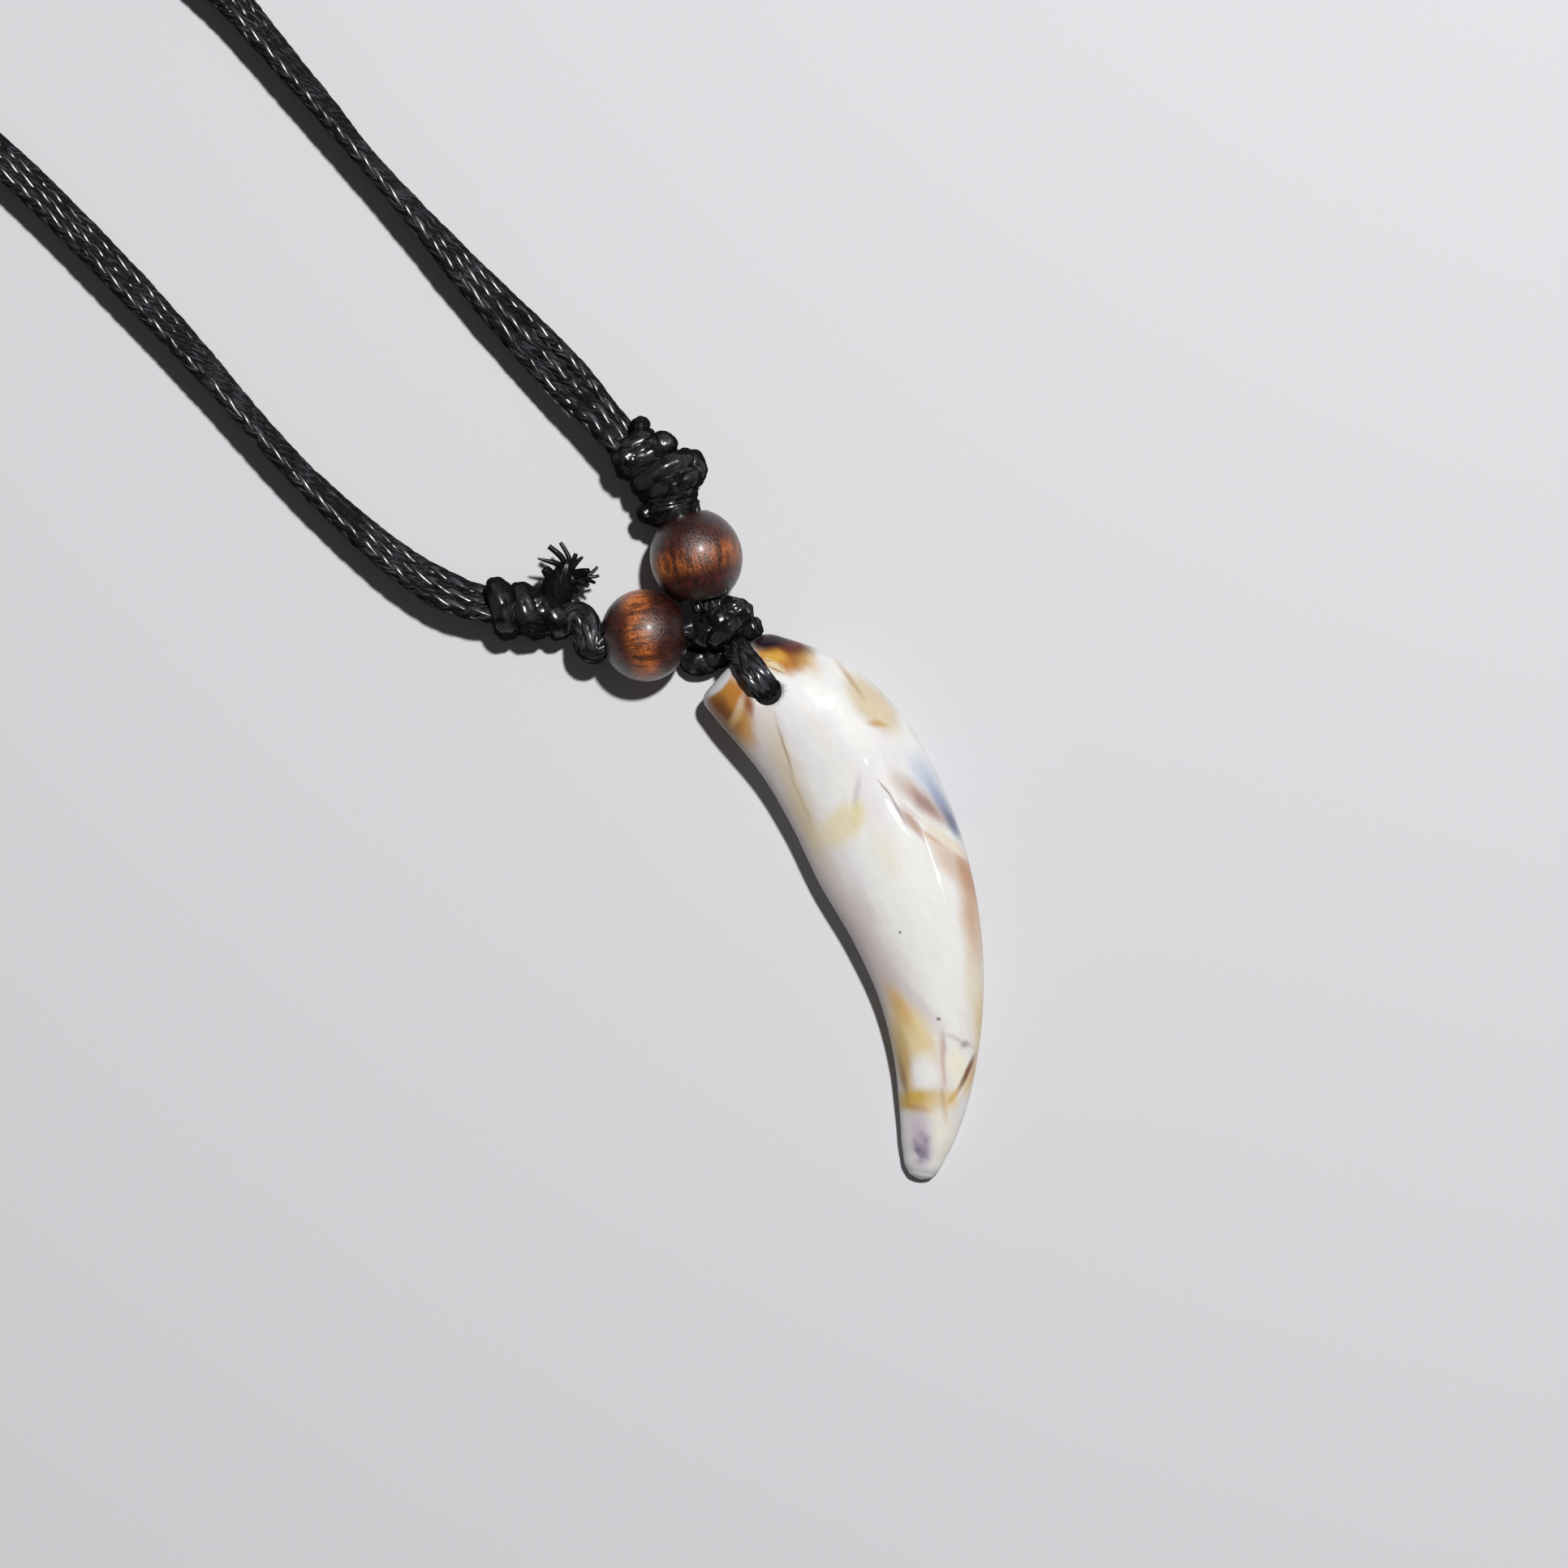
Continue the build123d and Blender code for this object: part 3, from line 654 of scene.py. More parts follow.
hangingLoop = {
    "angle": -54.2,
    # mm out from the centre knot and up
    "corners": [(1.44, 4.32), (3.44, 7.07), (6.20, 7.25), (6.34, 0.70), (3.64, 0.66), (1.44, 2.56)],
}
fatBraid = dict(
    neckCord,
    dry=False,
    diameter=2.65,
    flatness=0.72,
    lay=21.0,
    yarnWidth=0.78,
    yarnThickness=0.40,
    step=0.2,
    corners=6,
)
loopBraid = dict(
    fatBraid,
    diameter=2.35,
    flatness=0.56,
    lay=19.0,
    yarnWidth=0.68,
    yarnThickness=0.34,
    step=0.16,
)
bendSide = (-0.5, 0.8, 0.0)  # across the lower cord where it leaves the left knot


def addShortCord(pieceName, node, places, cord, side, seed, arch=None):
    part = newPart()
    braid(part, routePoints(places), cord, seed, firstSide=side)
    if arch:
        addArch(part, arch, seed)
    dressNode(makeObject(pieceName, part, cordMaterial), node)


def addArch(part, arch, seed):
    # the fat waxed bend of the same cord between the left knot and its bead
    points, travelled = evenly(routePoints(arch["places"]), arch["step"] * mm)
    sides, ups = carriedFrames(points, bendSide)
    turns = fullTurn(arch["corners"])
    out = roundLine(sides, ups, turns, 1.0, arch["flatness"])
    toEnd = 1 - np.linspace(0, 1, len(points))
    phase = turns[None] + arch["twist"] * travelled[:, None] / mm
    size = 1 - grooves(phase, arch["yarns"]) - grooves(phase, arch["filaments"])
    spots = points[:, None] + out * arch["radius"] * mm
    size = size + roughness(spots, arch["lumps"], seed)
    size = size - np.abs(roughness(spots, arch["creases"], seed + 1))
    size = size * arch["radius"] * roundedEnd(toEnd / arch["endShare"], arch["endLeast"])[:, None]
    addTube(part, points[:, None] + out * size[..., None] * mm, travelled=travelled / mm)


loopLine = turned(hangingLoop["angle"])
loopSide = turned(hangingLoop["angle"] + 90)
loopStart = knotCentre * (1, 1, 0)
loopPlaces = [loopStart + loopLine * out + upward * high for out, high in hangingLoop["corners"]]
upperSide = np.cross(upward, turned(beads["upper"]["axis"]))
addShortCord("braid_bead_upper", "bead_cord_upper", beadCords["upper"], fatBraid, upperSide, 11)
addShortCord("braid_bead_lower", "bead_cord_lower", beadCords["lower"], fatBraid, bendSide, 13, arch)
addShortCord("braid_hanging_loop", "hanging_loop", loopPlaces, loopBraid, loopSide, 17)
print("short cords done")


# Wrapped knots: turns of flattened waxed cord round a core

wraps = {
    "corners": 36,
    "rows": 150,
    "yarns": (7, 0.10, 0.7),  # grooves: how many, how deep and how sharp
    "twist": 0.12,
    "inset": 0.036,  # share of the radius, so that the lumps press in more than they swell
    # noise, as roughness reads it
    "lumps": (1.3, 0.12),
    "creases": (1.0, 0.06),
    "fineCreases": (0.35, 0.025),
    # mm that a turn strays along the knot, once and twice round, and how far that shifts from turn to turn
    "waver": (0.16, 1.7),
    "fineWaver": (0.08, 2.3),
}
knotCreases = {"broad": (1.2, 0.38), "fine": (0.42, 0.09)}  # noise, as roughness reads it
lumpShape = {"corners": 60, "rows": 38, "pole": 0.05, "swell": (1.5, 0.14)}
bodyShape = {
    "corners": 84,
    "step": 0.1,
    "endRound": 0.9,  # mm
    "endLeast": 0.05,
    "wobble": (2.4, 1.1),
    "fineWobble": (0.9, 0.4),
    "lumps": (1.6, 0.25),
    "creases": 0.45,
    "sharpness": 0.8,
    "ridgeTop": 0.8,  # share of a ridge's height that lies inside the body's own half width
}
rightKnot = {
    "centre": (-6.76, 28.79, 3.35),
    "axis": 114.0,
    "length": 9.3,
    "width": 6.7,
    "wrap": 1.15,
    # along, side, reach, lean
    "turns": [
        (-0.418, 0.047, 0.733, -10.7), (-0.286, -0.006, 0.733, -8.7), (-0.184, -0.100, 0.970, -5.0),
        (-0.049, -0.073, 1.000, 0.0), (0.150, 0.071, 0.907, 9.0), (0.297, 0.155, 0.690, 10.0),
    ],
    # the body under the turns: along, side and half width in mm, then its ridges' pitch, height and lean
    "body": [
        (-4.88, 0.17, 1.75), (-4.29, 0.26, 2.15), (-3.70, 0.14, 2.45), (-3.11, 0.11, 2.60),
        (-2.52, -0.54, 2.85), (-1.93, -0.82, 2.95), (-1.35, -0.85, 3.02), (-0.76, -0.72, 2.95),
        (-0.17, -0.49, 2.90), (0.42, -0.10, 2.95), (1.01, 0.44, 2.82), (1.60, 0.54, 2.75),
        (2.19, 0.60, 2.65), (2.77, 0.75, 2.35), (3.30, 0.60, 1.90),
    ],
    "ridges": (0.90, 0.40, 9.0),
    # middle from the knot's own middle, half sizes and how much each is creased
    "lumps": [
        ((-2.30, 0.95, 0.80), (1.75, 1.80, 2.05), 0.9), ((-1.50, 3.90, 0.20), (0.95, 0.92, 1.20), 0.9),
        ((0.50, 2.10, 0.80), (1.30, 1.30, 1.75), 0.8), ((3.00, 0.05, 0.30), (1.42, 1.75, 1.75), 0.6),
        ((-0.85, -3.80, 0.10), (0.95, 1.00, 1.60), 1.0),
    ],
}
leftKnot = {
    "centre": (-17.89, 16.55, 2.9),
    "axis": 169.0,
    "length": 7.4,
    "width": 5.8,
    "wrap": 1.32,
    "turns": [(-0.29, 0.00, 0.80, 32), (0.01, 0.00, 0.97, 35), (0.30, 0.03, 1.00, 33)],
    "body": [
        (-3.52, 0.08, 1.30), (-2.76, 0.05, 1.50), (-2.01, -0.02, 1.70), (-1.25, -0.04, 1.90),
        (-0.50, -0.13, 2.05), (0.26, 0.02, 2.20), (1.02, 0.14, 2.25), (1.77, 0.30, 2.10),
        (2.53, 0.10, 1.95), (3.28, -0.20, 1.60),
    ],
    "ridges": (1.05, 0.10, 24.0),
    "lumps": [((2.20, -1.40, 0.30), (1.15, 0.80, 1.10), 1.0)],
}


def addWrap(part, points, out, radius, wraps, seed):
    # one closed turn: a tube with the grooves of its yarns, pressed a little out of round and creased
    points, radius = points * mm, radius * mm
    rows = len(points)
    runs = unit(np.roll(points, -1, axis=0) - np.roll(points, 1, axis=0))
    sides = unit(out - runs * (runs * out).sum(axis=1)[:, None])
    turns = fullTurn(wraps["corners"])
    travelled = np.arange(rows + 1) * (np.linalg.norm(points[1] - points[0]) / mm)
    twists = round(wraps["twist"] * travelled[rows]) * 2 * pi / wraps["yarns"][0]
    phase = turns[None] + twists * (travelled[:rows, None] / travelled[rows])
    ring = roundLine(sides, np.cross(runs, sides), turns)
    spots = points[:, None] + ring * radius
    size = 1 - grooves(phase, wraps["yarns"]) + roughness(spots, wraps["lumps"], seed) - wraps["inset"]
    size = size - np.abs(roughness(spots, wraps["creases"], seed + 9))
    size = size - np.abs(roughness(spots, wraps["fineCreases"], seed + 5))
    addTube(part, points[:, None] + ring * (radius * size)[..., None], closed=True, travelled=travelled)


def creased(spots, seed, amount):
    # folds and crinkles of waxed cord, in mm, always inward
    broad = np.abs(roughness(spots, knotCreases["broad"], seed))
    return amount * (broad + np.abs(roughness(spots, knotCreases["fine"], seed + 3)))


def addLumps(part, lumps, centre, shape, seed):
    # bunched lumps of cord: balls with creases
    tilt = np.linspace(shape["pole"], pi - shape["pole"], shape["rows"])[:, None, None]
    out = np.sin(tilt) * circle(rightward, forward, fullTurn(shape["corners"])) + np.cos(tilt) * upward
    for index, (shift, sizes, creases) in enumerate(lumps):
        middle = centre + shift
        spots = (middle + out * sizes) * mm
        swell = 1 + roughness(spots, shape["swell"], seed + index)[..., None]
        skin = out * sizes * swell - out * creased(spots, seed + index, creases)[..., None]
        addTube(part, (middle + skin)[:, ::-1] * mm)


def addBody(part, knot, shape, seed):
    # the bunched cords that the turns lie on, ridged across the knot
    axis = turned(knot["axis"])
    left = np.cross(upward, axis)
    table = np.array(knot["body"])
    start, end = table[0, 0], table[-1, 0]
    rows = np.linspace(start, end, int((end - start) / shape["step"]))
    side, half = (np.interp(rows, table[:, 0], table[:, i])[:, None] for i in (1, 2))
    fromEnd = np.minimum(rows - start, end - rows) / shape["endRound"]
    half = half * roundedEnd(fromEnd, shape["endLeast"])[:, None]
    turns = fullTurn(shape["corners"])
    out = circle(left, upward, turns)
    middles = (np.array(knot["centre"]) + axis * rows[:, None] + left * side)[:, None]
    spots = (middles + out * half[..., None]) * mm
    pitch, height, lean = knot["ridges"]
    across = rows[:, None] - np.tan(radians(lean)) * half * np.cos(turns)
    wobble = roughness(spots, shape["wobble"], seed) + roughness(spots, shape["fineWobble"], seed + 2)
    ridge = np.abs(np.cos(pi * across / pitch + wobble)) ** shape["sharpness"]
    size = half + height * (ridge - shape["ridgeTop"]) + roughness(spots, shape["lumps"], seed + 4)
    size = size - creased(spots, seed + 6, shape["creases"])
    addTube(part, (middles + out * size[..., None]) * mm)


def addWrappedKnot(pieceName, node, knot, wraps, seed):
    centre, axis = np.array(knot["centre"]), turned(knot["axis"])
    left = np.cross(upward, axis)
    part = newPart()
    spin = fullTurn(wraps["rows"])
    waver, shift = wraps["waver"]
    fineWaver, fineShift = wraps["fineWaver"]
    for index, (along, side, reach, lean) in enumerate(knot["turns"]):
        middle = centre + axis * (along * knot["length"]) + left * (side * knot["width"])
        ringAxis = turned(knot["axis"] + lean)
        out = circle(upward, np.cross(ringAxis, upward), spin)
        radius = reach * knot["width"] / 2 - knot["wrap"]
        strayed = waver * np.sin(spin + index * shift + seed)
        strayed = strayed + fineWaver * np.sin(2 * spin + index * fineShift)
        points = middle + out * radius + ringAxis * strayed[:, None]
        addWrap(part, points, out, knot["wrap"], wraps, seed + index)
    addBody(part, knot, bodyShape, seed + 30)
    addLumps(part, knot["lumps"], centre, lumpShape, seed + 40)
    dressNode(makeObject(pieceName, part, knotMaterial), node)


addWrappedKnot("wraps_right", "right_knot", rightKnot, wraps, 21)
addWrappedKnot("wraps_left", "left_knot", leftKnot, wraps, 31)

# The centre knot: bends of the same cord, each a small ring turned its own way
centreKnot = {
    "across": (0.3, 0.2, 0.93),  # each ring starts square to this
    # middle of the ring from the knot's own middle, the ring's axis, its radius and its cord's radius
    "turns": [
        ((0.05, 0.10, 0.35), (0.58, -0.81, 0.10), 1.20, 1.00),
        ((-0.30, 0.95, 0.60), (0.90, 0.35, 0.10), 0.75, 0.80),
    ],
    # middle, half sizes and how much each is creased
    "lumps": [
        ((0.30, 0.75, 0.10), (2.05, 2.20, 1.85), 1.0),
        ((0.75, 2.15, 0.35), (1.45, 1.30, 1.40), 1.4),
        ((1.50, 1.55, 0.45), (1.15, 1.15, 1.20), 1.4),
        ((2.15, 0.40, 0.10), (1.20, 1.25, 1.30), 1.0),
        ((-1.70, -0.05, 0.20), (1.65, 1.35, 1.40), 0.35),
        ((-1.00, 1.35, 0.70), (1.25, 1.20, 1.25), 1.2),
        ((-2.20, -2.35, -1.80), (1.80, 1.50, 1.20), 0.4),
        ((-0.85, -1.75, -1.50), (1.45, 1.35, 1.25), 0.4),
    ],
}


def addCentreKnot(knot, wraps):
    part = newPart()
    for index, (shift, axis, radius, cordRadius) in enumerate(knot["turns"]):
        ringAxis = unit(np.array(axis))
        first = unit(np.cross(ringAxis, knot["across"]))
        out = circle(first, np.cross(ringAxis, first), fullTurn(wraps["rows"] // 2))
        addWrap(part, knotCentre + shift + out * radius, out, cordRadius, wraps, 41 + index)
    addLumps(part, knot["lumps"], knotCentre, lumpShape, 61)
    dressNode(makeObject("wraps_centre", part, knotMaterial), "centre_knot")


addCentreKnot(centreKnot, wraps)
print("knots done")


# The frayed cord end above the left knot

looseYarn = {"step": 0.09, "corners": 9, "flatness": 0.62, "swell": (0.8, 0.12), "side": (0.1, 0.2, 0.9)}
frayedTail = {
    "start": (-14.88, 17.29, 2.9),
    "heading": 89.0,
    "rise": 12.0,
    "length": 3.6,
    "width": 2.7,
    "thickness": 1.9,
    "rows": 48,
    "corners": 64,
    "grooves": (11, 0.07, 1.0),
    "twist": 0.9,
    "creases": 0.15,
    "depth": 0.3,  # mm that a loose yarn rises or sinks at each of its points
    "seed": 5,
    # of each loose yarn: places along and to the left, as shares of length and width, then its width in mm
    # and its tip's share of that
    "yarns": [
        ([(0.78, 0.00), (0.95, 0.10), (1.01, 0.45), (1.10, 0.84)], 0.56, 0.25),
        ([(0.80, -0.06), (1.00, -0.03), (1.21, 0.19), (1.37, 0.49)], 0.56, 0.85),
        ([(0.80, -0.20), (1.02, -0.20), (1.26, -0.05), (1.45, 0.13)], 0.46, 0.7),
        ([(0.80, -0.22), (1.00, -0.29), (1.20, -0.38)], 0.48, 0.8),
        ([(0.80, -0.24), (0.97, -0.34), (1.12, -0.60)], 0.50, 0.5),
        ([(0.56, 0.00), (0.62, -0.40), (0.66, -0.84)], 1.62, 0.72),
        ([(0.62, -0.30), (0.76, -0.58), (0.82, -0.75)], 0.72, 0.7),
        ([(0.66, -0.70), (0.74, -0.95), (0.88, -1.07)], 0.36, 0.7),
        ([(0.66, -0.75), (0.62, -1.00), (0.68, -1.13)], 0.36, 0.7),
        ([(0.62, -0.66), (0.55, -0.88), (0.52, -1.01)], 0.46, 0.6),
        ([(0.58, -0.44), (0.47, -0.66), (0.44, -0.80)], 0.62, 0.6),
        ([(0.42, -0.24), (0.32, -0.36), (0.26, -0.45)], 0.60, 0.7),
        ([(0.60, 0.36), (0.74, 0.54), (0.83, 0.60)], 1.05, 0.85),
    ],
    # along, middle to the left, half width as shares, and the share of the thickness
    "body": [
        (-0.05, 0.20, 0.46, 0.90), (0.17, 0.25, 0.56, 1.00), (0.36, 0.20, 0.57, 1.00),
        (0.53, 0.19, 0.50, 0.98), (0.70, 0.10, 0.37, 0.84), (0.87, -0.02, 0.27, 0.62),
        (0.98, -0.08, 0.17, 0.44), (1.06, -0.10, 0.06, 0.16),
    ],
}


def addLooseYarn(part, places, radius, tipShare, look, seed):
    # a loose flattened yarn that thins towards its tip
    points, travelled = evenly(routePoints(places), look["step"] * mm)
    sides, ups = carriedFrames(points, look["side"])
    thinned = 1 - (1 - tipShare) * np.linspace(0, 1, len(points)) ** 2
    wide = radius * mm * thinned * (1 + roughness(points, look["swell"], seed))
    ring = roundLine(sides, ups, fullTurn(look["corners"]), look["flatness"])
    addTube(part, points[:, None] + ring * wide[:, None, None], travelled=travelled / mm)


def addFrayedTail(tail):
    random = np.random.default_rng(tail["seed"])
    flat = turned(tail["heading"])
    heading = flat * cos(radians(tail["rise"])) + upward * sin(radians(tail["rise"]))
    left = np.cross(upward, flat)
    over = np.cross(heading, left)
    start, lengthwise, sideways = np.array(tail["start"]), heading * tail["length"], left * tail["width"]
    part = newPart()
    table = np.array(tail["body"])
    along = np.linspace(table[0, 0], table[-1, 0], tail["rows"])[:, None]
    aside, wide, thick = (np.interp(along, table[:, 0], table[:, i])[..., None] for i in (1, 2, 3))
    turns = fullTurn(tail["corners"])
    out = np.cos(turns)[:, None] * sideways * wide
    out = out + np.sin(turns)[:, None] * over * (thick * tail["thickness"] / 2)
    middles = start + lengthwise * along[..., None] + sideways * aside
    size = 1 - grooves(turns + tail["twist"] * along, tail["grooves"])
    size = size - creased((middles + out) * mm, 3, tail["creases"])
    addTube(part, (middles + out * size[..., None]) * mm)
    for spots, width, tip in tail["yarns"]:
        depth = random.uniform(-tail["depth"], tail["depth"])
        places = [
            start + lengthwise * along + sideways * aside + over * (depth * index)
            for index, (along, aside) in enumerate(spots)
        ]
        addLooseYarn(part, places, width / 2, tip, looseYarn, random.integers(100))
    dressNode(makeObject("frayed_end", part, fibreMaterial), "frayed_tail")


addFrayedTail(frayedTail)
print("frayed end done")


# The tooth

tooth = {
    "root": (0.20, 11.51),
    "angle": -70.3,
    "chord": 47.1,
    "width": 13.3,
    "thickness": 6.2,
    "crown": 0.58,
    "lift": 1.34,
    "rootRound": 0.9,
    "rootRows": 8,
    "rows": 170,
    "tipFrom": 0.955,  # share of the chord after which the rows stand closer
    "tipRows": 30,
    "corners": 96,
    # along, bow, turn, width, thickness, lift
    "sections": [
        (-0.012, -0.0095, 28.0, 0.610, 0.64, 1.00), (0.000, 0.0005, 26.7, 0.640, 0.68, 1.00),
        (0.050, 0.0430, 19.0, 0.798, 0.80, 1.00),
        (0.109, 0.0828, 12.0, 0.919, 0.90, 0.85), (0.180, 0.1130, 8.0, 0.974, 0.96, 0.50),
        (0.290, 0.1370, 5.0, 1.000, 1.00, 0.14), (0.416, 0.1470, 2.0, 0.979, 1.00, 0.03),
        (0.550, 0.1510, -3.0, 0.847, 0.94, 0.02), (0.679, 0.1370, -9.0, 0.690, 0.83, 0.02),
        (0.800, 0.1020, -17.0, 0.543, 0.69, 0.02), (0.900, 0.0570, -24.0, 0.409, 0.54, 0.04),
        (0.958, 0.0234, -28.0, 0.288, 0.40, 0.10), (0.986, 0.0070, -30.0, 0.192, 0.28, 0.16),
        (0.9955, 0.0020, -30.0, 0.118, 0.18, 0.20), (1.0005, 0.0000, -30.0, 0.012, 0.03, 0.22),
    ],
    "hole": (2.79, 9.59),
    "holeRadius": 1.25,
    "holeFlare": 0.14,
    "holeTop": 6.35,
    "holeBottom": 1.45,
    "drillMargin": 3,  # mm that the tool stands out of each face
    "drillCorners": 64,
    "edgeRows": 8,
}


def smoothTable(rows, places):
    # a smooth curve through each column of a table whose first column is the place along
    table = np.array(rows)
    along = table[:, 0]
    slopes = np.gradient(table, along, axis=0)
    index = np.clip(np.searchsorted(along, places) - 1, 0, len(along) - 2)
    span = (along[index + 1] - along[index])[:, None]
    share = ((places - along[index]) / span[:, 0])[:, None]
    square, cube = share**2, share**3
    leaving = (2 * cube - 3 * square + 1) * table[index]
    leaving = leaving + (cube - 2 * square + share) * (slopes[index] * span)
    arriving = (3 * square - 2 * cube) * table[index + 1]
    return leaving + arriving + (cube - square) * (slopes[index + 1] * span)


def toothRings(tooth):
    fine = np.linspace(0, pi / 2, tooth["rootRows"])
    rootStep = tooth["rootRound"] / tooth["chord"]
    start, tipFrom, end = tooth["sections"][0][0], tooth["tipFrom"], tooth["sections"][-1][0]
    places = np.concatenate((
        start + rootStep * (1 - np.cos(fine)),
        np.linspace(start + rootStep, tipFrom, tooth["rows"])[1:],
        tipFrom + (end - tipFrom) * np.sin(np.linspace(0, pi / 2, tooth["tipRows"]))[1:],
    ))
    inset = np.zeros(len(places))
    inset[:len(fine)] = tooth["rootRound"] * (1 - np.sin(fine))
    turns = fullTurn(tooth["corners"])
    root = np.array((*tooth["root"], 0))
    rings = []
    for row, inward in zip(smoothTable(tooth["sections"], places), inset):
        along, bow, turn, width, thickness, lift = row
        shift = turned(tooth["angle"]) * along + turned(tooth["angle"] + 90) * bow
        crown = tooth["crown"] * thickness * tooth["thickness"]
        belly = (1 - tooth["crown"]) * thickness * tooth["thickness"]
        middle = root + shift * tooth["chord"] + upward * (lift * tooth["lift"] + belly)
        side = turned(tooth["angle"] + turn + 90)
        across = (width * tooth["width"] / 2 - inward) * np.cos(turns)
        height = np.where(np.sin(turns) > 0, crown - inward, belly - inward) * np.sin(turns)
        rings.append(middle + side * across[:, None] + upward * height[:, None])
    return np.array(rings)


def drillTooth(piece, tooth):
    # a hole whose edges are rounded off, cut with a turned tool
    flare, radius, margin = tooth["holeFlare"], tooth["holeRadius"], tooth["drillMargin"]
    bottom, top, widest = tooth["holeBottom"], tooth["holeTop"], radius + 3 * flare
    rises = [sin(angle) for angle in np.linspace(0, pi / 2, tooth["edgeRows"])]
    edge = [(flare * rise, radius + flare * (1 - rise)) for rise in rises]
    profile = [(bottom - margin, widest)]
    profile += [(bottom + inward, width) for inward, width in edge]
    profile += [(top - inward, width) for inward, width in reversed(edge)]
    profile += [(top + margin, widest)]
    out = circle(rightward, forward, fullTurn(tooth["drillCorners"]))
    rings = [np.array((*tooth["hole"], height)) + out * width for height, width in profile]
    part = newPart()
    addTube(part, np.array(rings) * mm)
    tool = makeObject("drill", part, piece.data.materials[0])
    cut = piece.modifiers.new("hole", "BOOLEAN")
    cut.operation = "DIFFERENCE"
    cut.solver = "EXACT"
    cut.object = tool
    bpy.context.view_layer.update()
    drilled = bpy.data.meshes.new_from_object(piece.evaluated_get(bpy.context.evaluated_depsgraph_get()))
    piece.modifiers.clear()
    piece.data = drilled
    bpy.data.objects.remove(tool)


